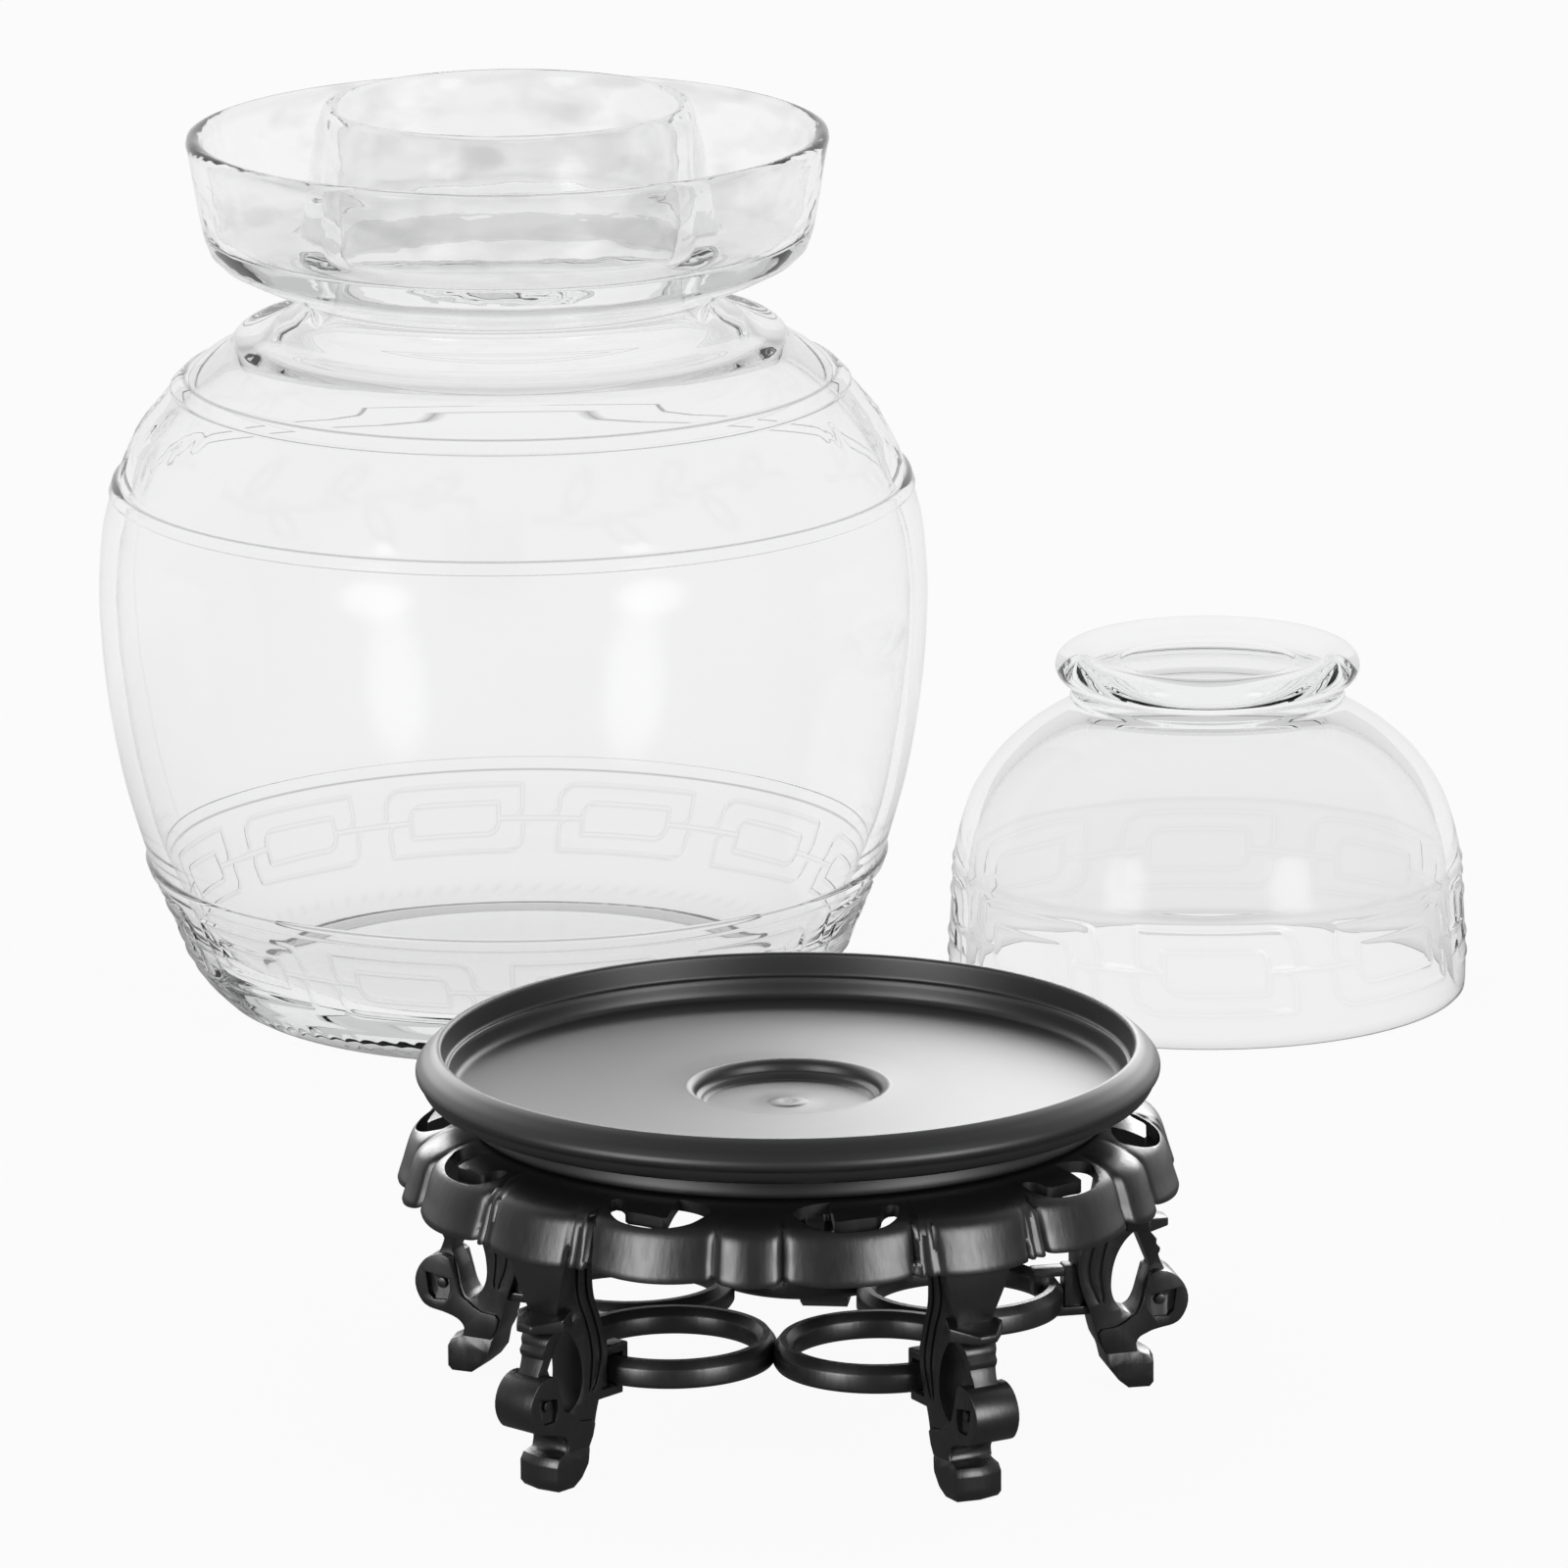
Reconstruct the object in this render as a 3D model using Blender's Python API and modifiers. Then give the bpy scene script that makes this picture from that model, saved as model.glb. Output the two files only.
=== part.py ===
"""A water seal pickle jar of pressed glass, its glass bowl lid, and the black moulded stand it serves on.

Metres, +Z up, the table at zero. The jar and the lid stand behind the stand, as they are laid out for
use: the jar at the back left, the lid on its rim at the back right, the empty stand in front.
Angles on the stand are azimuths from its front (-Y), growing towards +X.
"""
import math

import bmesh
import bpy

MM = 0.001
MERGE = 0.05 * MM

# Clearances
SEAT_GAP = 0.3 * MM          # between pieces that rest on or hold one another
CUT_OVERRUN = 4.0 * MM       # how far a cutter runs past what it cuts

# Where the three groups stand
JAR_TO_LID_GAP = 3.5 * MM
JAR_TO_STAND_GAP = 133.0 * MM
STAND_RIGHT_OF_JAR = 53.9 * MM
LID_BEHIND_JAR = 1.0 * MM

# Jar
JAR_SIDES = 40
JAR_RADIUS = 82.6 * MM
JAR_FOOT_RADIUS = 57.0 * MM
JAR_FOOT_BEARING = 4.5 * MM       # width of the flat ring that the jar stands on
JAR_FOOT_HOLLOW = 2.2 * MM        # how far the bottom is pushed up inside that ring
JAR_BODY_HEIGHT = 133.2 * MM      # table to the foot of the bead under the neck
JAR_WALL = 3.5 * MM
JAR_FLOOR = 8.0 * MM
JAR_FLOOR_RADIUS = 53.0 * MM
JAR_LINE_PROUD = 0.8 * MM         # moulded lines round the body
JAR_LINE_WIDTH = 2.4 * MM
BEAD_RADIUS = 54.6 * MM
BEAD_HEIGHT = 2.3 * MM
COLLAR_RADIUS = 46.0 * MM
COLLAR_HEIGHT = 2.4 * MM
NECK_WAIST_RADIUS = 39.7 * MM
NECK_WAIST_HEIGHT = 6.3 * MM
MOAT_UNDER_RADIUS = 44.8 * MM
MOAT_DEPTH = 21.2 * MM
MOAT_FLOOR_THICK = 9.8 * MM
MOAT_RADIUS = 63.6 * MM
MOAT_WALL = 3.2 * MM
MOAT_TAPER = 3.4 * MM             # how much narrower the moat is at its foot
MOAT_ROUND = 4.4 * MM
NECK_RIM_RADIUS = 36.2 * MM
NECK_FLARE = 4.8 * MM             # how much wider the neck is at the moat's floor
NECK_ABOVE_MOAT = 6.1 * MM
MOUTH_RADIUS = 34.0 * MM
RIM_ROUND = 1.0 * MM

# Lid, a glass bowl that stands on its rim
LID_SIDES = 36
LID_RIM_RADIUS = 52.3 * MM
LID_BOWL_HEIGHT = 60.9 * MM       # rim to the waist under the knob ring
LID_WALL = 2.7 * MM
LID_WAIST_RADIUS = 26.9 * MM
LID_CROWN_THICK = 4.6 * MM        # glass between the hollow and the waist's height
KNOB_RADIUS = 30.4 * MM
KNOB_HEIGHT = 8.4 * MM
KNOB_HOLLOW_RADIUS = 21.5 * MM
KNOB_HOLLOW_DEPTH = 2.6 * MM

# Tray
TRAY_SIDES = 48
TRAY_FLOOR_RADIUS = 59.6 * MM
TRAY_FLOOR_HEIGHT = 58.8 * MM
TRAY_THICK = 2.0 * MM
TRAY_LIP_HEIGHT = 7.9 * MM        # floor to the top of the lip
TRAY_LIP_RADIUS = 62.1 * MM
TRAY_LIP_LAND = 1.3 * MM          # flat on top of the lip
TRAY_LEDGE_HEIGHT = 3.7 * MM
TRAY_LEDGE_WIDTH = 0.7 * MM
TRAY_BULGE_RADIUS = 65.7 * MM
TRAY_RECESS_RADIUS = 17.4 * MM
TRAY_RECESS_DEPTH = 3.0 * MM
TRAY_RECESS_SLOPE = 2.4 * MM      # how much narrower the recess is at its floor
BAND_RADIUS = 56.4 * MM
BAND_HEIGHT = 4.5 * MM
BAND_WALL = 2.2 * MM

# Apron, the crown of petals under the tray
LEG_COUNT = 5
APRON_RADIUS = 69.3 * MM
APRON_INNER_RADIUS = 50.5 * MM
APRON_SHELF_RADIUS = 57.0 * MM
APRON_DROP = 12.2 * MM            # top of the shelf to the lower edge
APRON_WALL = 2.0 * MM
APRON_GROOVE = 2.3 * MM           # depth of the grooves between petals
APRON_SCALLOP = 1.1 * MM          # how far the lower edge rises at a groove
APRON_REED_GROOVE = 0.7 * MM
EYE_INNER_RADIUS = 58.0 * MM
EYE_OUTER_RADIUS = 65.4 * MM
FIRST_LEG_AZIMUTH = 29.9
LEG_PETAL_DEGREES = 19.5
REED_DEGREES = 3.2
SIDE_PETAL_DEGREES = 17.8

# Legs
LEG_DEPTH = 22.0 * MM             # inner face to the front of the scroll
LEG_FACE_SHARE = 0.732            # share of that depth at which the plain face over the scroll stands
LEG_HALF_WIDTH = 7.2 * MM
LEG_TO_APRON_GAP = 1.6 * MM       # between a leg's face and the inside of the apron
SCROLL_RADIUS = 5.0 * MM
SCROLL_HALF_LENGTH = 4.8 * MM
SCROLL_RECESS = 1.2 * MM
SCROLL_SIDES = 24

# Wreath of stretcher rings, held between a ledge and a hook on each leg
RING_CROSSING = 0.24 * MM         # how far each ring passes the middle between two legs
RING_BAR_WIDTH = 3.6 * MM
RING_BAR_HEIGHT = 4.8 * MM
RING_BOTTOM = 15.6 * MM
RING_BEVEL = 1.1 * MM
RING_SIDES = 28
HOOK_THICK = 1.6 * MM
HOOK_LIP = 1.4 * MM
HOOK_LIP_DROP = 3.0 * MM
HOOK_HALF_WIDTH = 1.7 * MM
LEDGE_THICK = 1.7 * MM
LEDGE_HALF_WIDTH = 2.6 * MM
LEDGE_REACH = 3.0 * MM            # how far the ledge reaches under the ring

# Worked out from the sizes above
MOAT_UNDER_HEIGHT = JAR_BODY_HEIGHT + BEAD_HEIGHT + COLLAR_HEIGHT + NECK_WAIST_HEIGHT
MOAT_FLOOR_HEIGHT = MOAT_UNDER_HEIGHT + MOAT_FLOOR_THICK
MOAT_TOP = MOAT_FLOOR_HEIGHT + MOAT_DEPTH
NECK_TOP = MOAT_TOP + NECK_ABOVE_MOAT
BAND_BOTTOM = TRAY_FLOOR_HEIGHT - BAND_HEIGHT
APRON_TOP = BAND_BOTTOM - SEAT_GAP
LEG_TOP = APRON_TOP - APRON_WALL - SEAT_GAP
LEG_STEP = 360.0 / LEG_COUNT
MIDDLE_PETAL_DEGREES = LEG_STEP - LEG_PETAL_DEGREES - 2 * REED_DEGREES - 2 * SIDE_PETAL_DEGREES
LEG_INNER_RADIUS = APRON_RADIUS - APRON_WALL - LEG_TO_APRON_GAP - LEG_DEPTH * LEG_FACE_SHARE
RING_REACH = LEG_INNER_RADIUS - SEAT_GAP
RING_CENTRE_RADIUS = (RING_REACH - RING_CROSSING) / (1 + math.sin(math.radians(LEG_STEP / 2)))
RING_RADIUS = RING_REACH - RING_CENTRE_RADIUS
RING_TOP = RING_BOTTOM + RING_BAR_HEIGHT

front_petal = LEG_STEP / 2 - MIDDLE_PETAL_DEGREES / 2 - SIDE_PETAL_DEGREES / 2
STAND_REACH = APRON_RADIUS * math.cos(math.radians(FIRST_LEG_AZIMUTH - front_petal))
LAYOUT_WIDTH = 2 * JAR_RADIUS + JAR_TO_LID_GAP + 2 * LID_RIM_RADIUS
LAYOUT_DEPTH = 2 * JAR_RADIUS + JAR_TO_STAND_GAP + 2 * STAND_REACH
JAR_PLACE = (JAR_RADIUS - LAYOUT_WIDTH / 2, LAYOUT_DEPTH / 2 - JAR_RADIUS)
LID_PLACE = (LAYOUT_WIDTH / 2 - LID_RIM_RADIUS, JAR_PLACE[1] + LID_BEHIND_JAR)
STAND_PLACE = (JAR_PLACE[0] + STAND_RIGHT_OF_JAR, STAND_REACH - LAYOUT_DEPTH / 2)


def start():
    """Empties the scene and makes one collection for the object and one for its cutters."""
    for thing in list(bpy.data.objects):
        bpy.data.objects.remove(thing)
    folders = []
    for title in ("fermentation_jar", "cutters"):
        folder = bpy.data.collections.new(title)
        bpy.context.scene.collection.children.link(folder)
        folders.append(folder)
    return folders


PARTS, CUTTERS = start()


def material(title, colour, roughness, transmission=0.0):
    made = bpy.data.materials.new(title)
    made.use_nodes = True
    shader = made.node_tree.nodes["Principled BSDF"]
    shader.inputs["Base Color"].default_value = (*colour, 1.0)
    shader.inputs["Roughness"].default_value = roughness
    shader.inputs["Metallic"].default_value = 0.0
    shader.inputs["Transmission Weight"].default_value = transmission
    return made


GLASS = material("clear_glass", (0.93, 0.94, 0.94), 0.03, transmission=1.0)
PLASTIC = material("black_plastic", (0.012, 0.012, 0.013), 0.38)


def place(title, mesh, finish, xy=(0, 0), turn=0.0, folder=None):
    """Puts a mesh in the scene as an object, turned about its own upright axis."""
    thing = bpy.data.objects.new(title, mesh)
    thing.location = (*xy, 0)
    thing.rotation_euler = (0, 0, turn)
    (folder or PARTS).objects.link(thing)
    if finish:
        mesh.materials.clear()
        mesh.materials.append(finish)
    if folder is CUTTERS:
        thing.hide_render = True
        thing.display_type = "WIRE"
    return thing


def evaluated_mesh(thing):
    """The mesh that an object has once its modifiers are applied."""
    bpy.context.view_layer.update()
    return bpy.data.meshes.new_from_object(thing.evaluated_get(bpy.context.evaluated_depsgraph_get()))


def curve_points(points, steps):
    """Reads a smooth curve through hand placed points, with a number of steps between each two."""
    def between(a, b, c, d, t):
        bend, twist = a - 2.5 * b + 2 * c - d / 2, 1.5 * (b - c) + (d - a) / 2
        return b + t * ((c - a) / 2 + t * (bend + t * twist))

    ends = [points[0], *points, points[-1]]
    read = []
    for four in zip(ends, ends[1:], ends[2:], ends[3:]):
        for step in range(steps):
            read.append(tuple(between(*values, step / steps) for values in zip(*four)))
    return read + [points[-1]]


def arc_points(centre, radius, start_degrees, end_degrees, steps):
    """Points along an arc of a section, each a radius and a height."""
    step = math.radians(end_degrees - start_degrees) / steps
    sweep = [math.radians(start_degrees) + step * i for i in range(steps + 1)]
    return [(centre[0] + radius * math.cos(a), centre[1] + radius * math.sin(a)) for a in sweep]


def section_mesh(title, outline, closed=False):
    """A turned shape's section as a string of edges in the XZ plane."""
    mesh = bpy.data.meshes.new(title)
    count = len(outline)
    edges = [(i, i + 1) for i in range(count - 1)] + ([(count - 1, 0)] if closed else [])
    mesh.from_pydata([(r, 0, z) for r, z in outline], edges, [])
    return mesh


def turned(title, outline, finish, xy=(0, 0), sides=48, closed=False, folder=None):
    """Turns a section about the upright axis with a Screw modifier."""
    thing = place(title, section_mesh(title, outline, closed), finish, xy, folder=folder)
    screw = thing.modifiers.new("turn", "SCREW")
    screw.steps = sides
    screw.render_steps = sides
    screw.use_merge_vertices = True
    screw.merge_threshold = MERGE
    screw.use_smooth_shade = True
    return thing


def slab(title, outlines, half_thick, rotation, middle=(0, 0, 0)):
    """A flat filled outline, with any holes, given thickness and then made a mesh."""
    curve = bpy.data.curves.new(title, "CURVE")
    curve.dimensions = "2D"
    curve.fill_mode = "BOTH"
    curve.extrude = half_thick
    for outline in outlines:
        spline = curve.splines.new("POLY")
        spline.points.add(len(outline) - 1)
        for point, (x, y) in zip(spline.points, outline):
            point.co = (x, y, 0, 1)
        spline.use_cyclic_u = True
    drawn = bpy.data.objects.new(title, curve)
    CUTTERS.objects.link(drawn)
    drawn.location = middle
    drawn.rotation_euler = rotation
    mesh = evaluated_mesh(drawn)
    mesh.transform(drawn.matrix_world)
    bpy.data.objects.remove(drawn)
    return closed_mesh(mesh)


def closed_mesh(mesh):
    """Welds a mesh's loose caps and turns its faces outwards."""
    work = bmesh.new()
    work.from_mesh(mesh)
    bmesh.ops.remove_doubles(work, verts=work.verts, dist=MERGE)
    bmesh.ops.recalc_face_normals(work, faces=work.faces)
    work.to_mesh(mesh)
    work.free()
    return mesh


def box_mesh(title, low, high):
    """A box between two corners."""
    mesh = bpy.data.meshes.new(title)
    work = bmesh.new()
    bmesh.ops.create_cube(work, size=1.0)
    for vert in work.verts:
        vert.co = [(a + b) / 2 + c * (b - a) for a, b, c in zip(low, high, vert.co)]
    work.to_mesh(mesh)
    work.free()
    return mesh


def combine(thing, other, operation):
    """Adds a Boolean modifier that joins, cuts or keeps what two objects share."""
    step = thing.modifiers.new(other.name, "BOOLEAN")
    step.operation = operation
    step.object = other
    step.solver = "EXACT"


def make_jar():
    """Glass jar: foot, swelling body with three moulded lines, collar, and a neck inside a water moat."""
    # Body outline as shares of the body's height and of how far its radius grows past the foot's.
    body_shares = [(0, 0), (0.034, 0.203), (0.075, 0.348), (0.15, 0.504), (0.219, 0.641), (0.34, 0.824),
                   (0.49, 0.961), (0.62, 1.0), (0.73, 0.953), (0.82, 0.8), (0.893, 0.586), (0.946, 0.351),
                   (0.985, 0.08)]
    line_shares = (0.219, 0.789, 0.946)
    swell = JAR_RADIUS - JAR_FOOT_RADIUS
    body = curve_points([(JAR_FOOT_RADIUS + swell * out, JAR_BODY_HEIGHT * up) for up, out in body_shares], 1)

    def radius_at(height):
        for (r0, z0), (r1, z1) in zip(body, body[1:]):
            if z0 <= height <= z1:
                return r0 + (r1 - r0) * (height - z0) / (z1 - z0)
        return body[-1][0]

    lined = []
    heights = [JAR_BODY_HEIGHT * share for share in line_shares]
    for r, z in body:
        if all(abs(z - height) > JAR_LINE_WIDTH for height in heights):
            lined.append((r, z))
    for height in heights:
        low, high = height - JAR_LINE_WIDTH / 2, height + JAR_LINE_WIDTH / 2
        crest = (radius_at(height) + JAR_LINE_PROUD, height)
        lined += [(radius_at(low), low), crest, (radius_at(high), high)]
    lined.sort(key=lambda point: point[1])

    bead_top = JAR_BODY_HEIGHT + BEAD_HEIGHT
    collar_top = bead_top + COLLAR_HEIGHT
    moat_foot = MOAT_RADIUS - MOAT_TAPER
    upper = [
        (BEAD_RADIUS, JAR_BODY_HEIGHT),
        (BEAD_RADIUS, JAR_BODY_HEIGHT + BEAD_HEIGHT * 0.6),
        (BEAD_RADIUS - BEAD_HEIGHT / 2, bead_top),
        (COLLAR_RADIUS + BEAD_HEIGHT / 2, bead_top + COLLAR_HEIGHT / 2),
        (COLLAR_RADIUS, collar_top),
        (NECK_WAIST_RADIUS + RIM_ROUND, collar_top + NECK_WAIST_HEIGHT * 0.25),
        (NECK_WAIST_RADIUS, collar_top + NECK_WAIST_HEIGHT * 0.6),
        (MOAT_UNDER_RADIUS - RIM_ROUND, MOAT_UNDER_HEIGHT),
        (MOAT_UNDER_RADIUS + MOAT_ROUND, MOAT_UNDER_HEIGHT + MOAT_FLOOR_THICK * 0.3),
        *arc_points((moat_foot - MOAT_ROUND, MOAT_FLOOR_HEIGHT + RIM_ROUND), MOAT_ROUND, -80, 0, 4),
        (MOAT_RADIUS - MOAT_TAPER / 3, MOAT_FLOOR_HEIGHT + MOAT_DEPTH * 0.6),
        *arc_points((MOAT_RADIUS - RIM_ROUND, MOAT_TOP - RIM_ROUND), RIM_ROUND, 0, 90, 2),
        (MOAT_RADIUS - MOAT_WALL + RIM_ROUND, MOAT_TOP),
        (MOAT_RADIUS - MOAT_WALL, MOAT_TOP - RIM_ROUND),
        (moat_foot - MOAT_WALL, MOAT_FLOOR_HEIGHT + MOAT_ROUND * 0.6),
        (moat_foot - MOAT_WALL - MOAT_ROUND / 2, MOAT_FLOOR_HEIGHT),
        (NECK_RIM_RADIUS + NECK_FLARE + RIM_ROUND, MOAT_FLOOR_HEIGHT),
        (NECK_RIM_RADIUS + NECK_FLARE * 0.75, MOAT_FLOOR_HEIGHT + RIM_ROUND * 2),
        (NECK_RIM_RADIUS + NECK_FLARE * 0.5, MOAT_FLOOR_HEIGHT + MOAT_DEPTH * 0.75),
        (NECK_RIM_RADIUS, NECK_TOP - RIM_ROUND),
        (NECK_RIM_RADIUS - RIM_ROUND * 0.6, NECK_TOP),
        (MOUTH_RADIUS + RIM_ROUND * 0.6, NECK_TOP),
        (MOUTH_RADIUS, NECK_TOP - RIM_ROUND),
        (MOUTH_RADIUS, collar_top),
        (MOUTH_RADIUS + JAR_WALL, bead_top - BEAD_HEIGHT / 2)]
    inner_height_shares = (0.93, 0.86, 0.76, 0.62, 0.46, 0.3, 0.16)
    inner_heights = [JAR_BODY_HEIGHT * share for share in inner_height_shares]
    inside = [(radius_at(height) - JAR_WALL, height) for height in inner_heights]
    floor = [(JAR_FLOOR_RADIUS + JAR_WALL * 1.5, JAR_FLOOR + JAR_WALL), (JAR_FLOOR_RADIUS, JAR_FLOOR),
             (0, JAR_FLOOR)]
    bearing_inner = JAR_FOOT_RADIUS - JAR_FOOT_BEARING
    under = [(0, JAR_FOOT_HOLLOW), (bearing_inner - JAR_FOOT_HOLLOW, JAR_FOOT_HOLLOW), (bearing_inner, 0)]
    outline = under + lined + upper + inside + floor
    turned("jar", outline[::-1], GLASS, JAR_PLACE, JAR_SIDES)


def make_lid():
    """Glass bowl used upside down as the lid, with a fat foot ring that serves as its knob."""
    # Outside as shares of the height to the waist and of the rim's radius.
    bowl_shares = [(0, 1.0), (0.24, 0.99), (0.44, 0.972), (0.557, 0.941), (0.655, 0.899), (0.754, 0.824),
                   (0.819, 0.751), (0.869, 0.683), (0.918, 0.6), (0.959, 0.535)]
    outside = [(LID_RIM_RADIUS * out, LID_BOWL_HEIGHT * up) for up, out in bowl_shares]
    # Knob ring as shares of its bulge past the waist and of its height, up to the middle of its top.
    ring_shares = [(0, 0), (0.7, 0.27), (1.0, 0.55), (0.8, 0.83), (0.31, 1.0)]
    top = LID_BOWL_HEIGHT + KNOB_HEIGHT
    bulge = KNOB_RADIUS - LID_WAIST_RADIUS
    knob = [(LID_WAIST_RADIUS + bulge * out, LID_BOWL_HEIGHT + KNOB_HEIGHT * up) for out, up in ring_shares]
    knob += [((LID_WAIST_RADIUS + KNOB_HOLLOW_RADIUS) / 2, top),
             (KNOB_HOLLOW_RADIUS, top - KNOB_HOLLOW_DEPTH / 2),
             (KNOB_HOLLOW_RADIUS - KNOB_HOLLOW_DEPTH, top - KNOB_HOLLOW_DEPTH), (0, top - KNOB_HOLLOW_DEPTH)]
    crown = LID_BOWL_HEIGHT - LID_CROWN_THICK
    inner_shares = [(0, 1.0), (0.24, 1.0), (0.44, 0.98), (0.6, 0.93), (0.74, 0.84), (0.85, 0.72),
                    (0.93, 0.56), (0.98, 0.34), (1.0, 0)]
    inner_radius = LID_RIM_RADIUS - LID_WALL
    inside = [(inner_radius * out, crown * up) for up, out in inner_shares]
    outline = inside[::-1] + outside + knob
    turned("lid_bowl", outline[::-1], GLASS, LID_PLACE, LID_SIDES)


def make_tray():
    """Round dish that the jar stands in, with a lip, a bulging rim and a base band under it."""
    floor = TRAY_FLOOR_HEIGHT
    recess = floor - TRAY_RECESS_DEPTH
    lip = floor + TRAY_LIP_HEIGHT
    ledge = floor + TRAY_LEDGE_HEIGHT
    bulge = (floor + ledge) / 2 + TRAY_THICK
    top = [(0, recess), (TRAY_RECESS_RADIUS - TRAY_RECESS_SLOPE, recess),
           (TRAY_RECESS_RADIUS - TRAY_RECESS_SLOPE * 0.75, recess + TRAY_RECESS_DEPTH / 3),
           (TRAY_RECESS_RADIUS - TRAY_RECESS_SLOPE / 2, recess + TRAY_RECESS_DEPTH / 3),
           (TRAY_RECESS_RADIUS, floor), (TRAY_FLOOR_RADIUS - TRAY_LEDGE_WIDTH, floor),
           (TRAY_FLOOR_RADIUS, floor + TRAY_LEDGE_WIDTH), (TRAY_FLOOR_RADIUS + TRAY_LEDGE_WIDTH / 2, ledge),
           (TRAY_FLOOR_RADIUS + TRAY_LEDGE_WIDTH * 1.5, ledge), (TRAY_LIP_RADIUS - TRAY_LIP_LAND / 2, lip),
           (TRAY_LIP_RADIUS + TRAY_LIP_LAND / 2, lip)]
    side = [(TRAY_BULGE_RADIUS - TRAY_THICK / 3, bulge + TRAY_THICK / 2),
            (TRAY_BULGE_RADIUS, bulge - TRAY_THICK / 2),
            (TRAY_BULGE_RADIUS - TRAY_THICK / 4, floor + TRAY_THICK),
            (TRAY_BULGE_RADIUS - TRAY_THICK / 2, floor),
            (BAND_RADIUS, floor - TRAY_THICK / 4)]
    half_band = BAND_HEIGHT / 2
    band = arc_points((BAND_RADIUS - half_band, BAND_BOTTOM + half_band), half_band, 60, -90, 5)
    band_inner = BAND_RADIUS - half_band - BAND_WALL
    under = [(band_inner, BAND_BOTTOM), (band_inner, floor - TRAY_THICK),
             (TRAY_RECESS_RADIUS + TRAY_THICK, floor - TRAY_THICK),
             (TRAY_RECESS_RADIUS + TRAY_THICK, recess - TRAY_THICK), (0, recess - TRAY_THICK)]
    turned("tray", top + side + band + under, PLASTIC, STAND_PLACE, TRAY_SIDES)


def petal_plan():
    """Places round one fifth of the apron: degrees from its leg, and how deep the face is cut in there."""
    # Each petal's width in degrees, its steps, and the depth of the groove that it starts from.
    side_groove, half_reed = APRON_GROOVE / 2, REED_DEGREES / 2
    reeds = [(half_reed, 1, side_groove), (half_reed, 1, APRON_REED_GROOVE)]
    petals = [(LEG_PETAL_DEGREES, 4, side_groove), *reeds, (SIDE_PETAL_DEGREES, 5, side_groove),
              (MIDDLE_PETAL_DEGREES, 3, APRON_GROOVE), (SIDE_PETAL_DEGREES, 5, APRON_GROOVE), *reeds]
    next_depths = [depth for width, count, depth in petals[1:] + petals[:1]]
    places = []
    azimuth = -LEG_PETAL_DEGREES / 2
    for (width, count, depth), next_depth in zip(petals, next_depths):
        for t in (i / count for i in range(count)):
            nearest = depth if t < 0.5 else next_depth
            places.append((azimuth + width * t, nearest * abs(2 * t - 1) ** 3))
        azimuth += width
    return places


def azimuth_place(degrees, radius):
    a = math.radians(degrees)
    return (radius * math.sin(a), -radius * math.cos(a))


def make_apron():
    """Petalled crown that hides the tops of the legs, with an eye shaped opening in each side petal."""
    reach = APRON_RADIUS - APRON_SHELF_RADIUS
    # Section as shares: out from the shelf's edge to the widest place, and down from the top.
    face_shares = [(0, 0), (0.33, 0.05), (0.63, 0.16), (0.85, 0.35), (0.98, 0.58), (1.0, 0.77), (0.9, 1.0)]
    section = [(APRON_INNER_RADIUS, APRON_TOP, 0.0)]
    for out, down in face_shares:
        section.append((APRON_SHELF_RADIUS + reach * out, APRON_TOP - APRON_DROP * down, out))
    rings = []
    for leg in range(LEG_COUNT):
        for azimuth, depth in petal_plan():
            rings.append((FIRST_LEG_AZIMUTH + leg * LEG_STEP + azimuth, depth))
    verts = []
    for azimuth, depth in rings:
        for index, (radius, height, share) in enumerate(section):
            rise = APRON_SCALLOP * depth / APRON_GROOVE if index == len(section) - 1 else 0.0
            verts.append((*azimuth_place(azimuth, radius - depth * share), height + rise))
    across = len(section)
    faces = []
    for i in range(len(rings)):
        j = (i + 1) % len(rings)
        for k in range(across - 1):
            faces.append((i * across + k, i * across + k + 1, j * across + k + 1, j * across + k))
    mesh = bpy.data.meshes.new("apron")
    mesh.from_pydata(verts, [], faces)
    mesh.shade_smooth()
    crown = place("apron", mesh, PLASTIC, STAND_PLACE)
    shell = crown.modifiers.new("wall", "SOLIDIFY")
    shell.thickness = APRON_WALL
    shell.offset = -1.0
    for leg in range(LEG_COUNT):
        leg_azimuth = FIRST_LEG_AZIMUTH + leg * LEG_STEP
        side = LEG_PETAL_DEGREES / 2 + REED_DEGREES
        petal_starts = (("a", leg_azimuth + side, 1), ("b", leg_azimuth + LEG_STEP - side, -1))
        for name, first, direction in petal_starts:
            combine(crown, eye_cutter(f"eye_{leg + 1}{name}", first, direction), "DIFFERENCE")


def eye_cutter(title, first_azimuth, direction):
    """Eye shaped cutter with the curl left standing in it, seen from above in one side petal."""
    # Shares along the petal from its leg side, and out from the eye's inner radius to its outer radius.
    eye_shares = [(0.05, 0.45), (0.14, 0.72), (0.3, 0.93), (0.5, 1.0), (0.7, 0.93), (0.86, 0.72),
                  (0.95, 0.45), (0.84, 0.18), (0.68, 0.04), (0.6, 0.02), (0.6, 0.8), (0.26, 0.72),
                  (0.22, 0.45), (0.16, 0.3)]
    outline = [azimuth_place(first_azimuth + direction * SIDE_PETAL_DEGREES * along,
                             EYE_INNER_RADIUS + (EYE_OUTER_RADIUS - EYE_INNER_RADIUS) * out)
               for along, out in eye_shares]
    height = APRON_DROP / 2 + CUT_OVERRUN
    mesh = slab(title, [outline], height / 2, (0, 0, 0), (0, 0, APRON_TOP + CUT_OVERRUN - height / 2))
    return place(title, mesh, None, STAND_PLACE, folder=CUTTERS)


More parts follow.
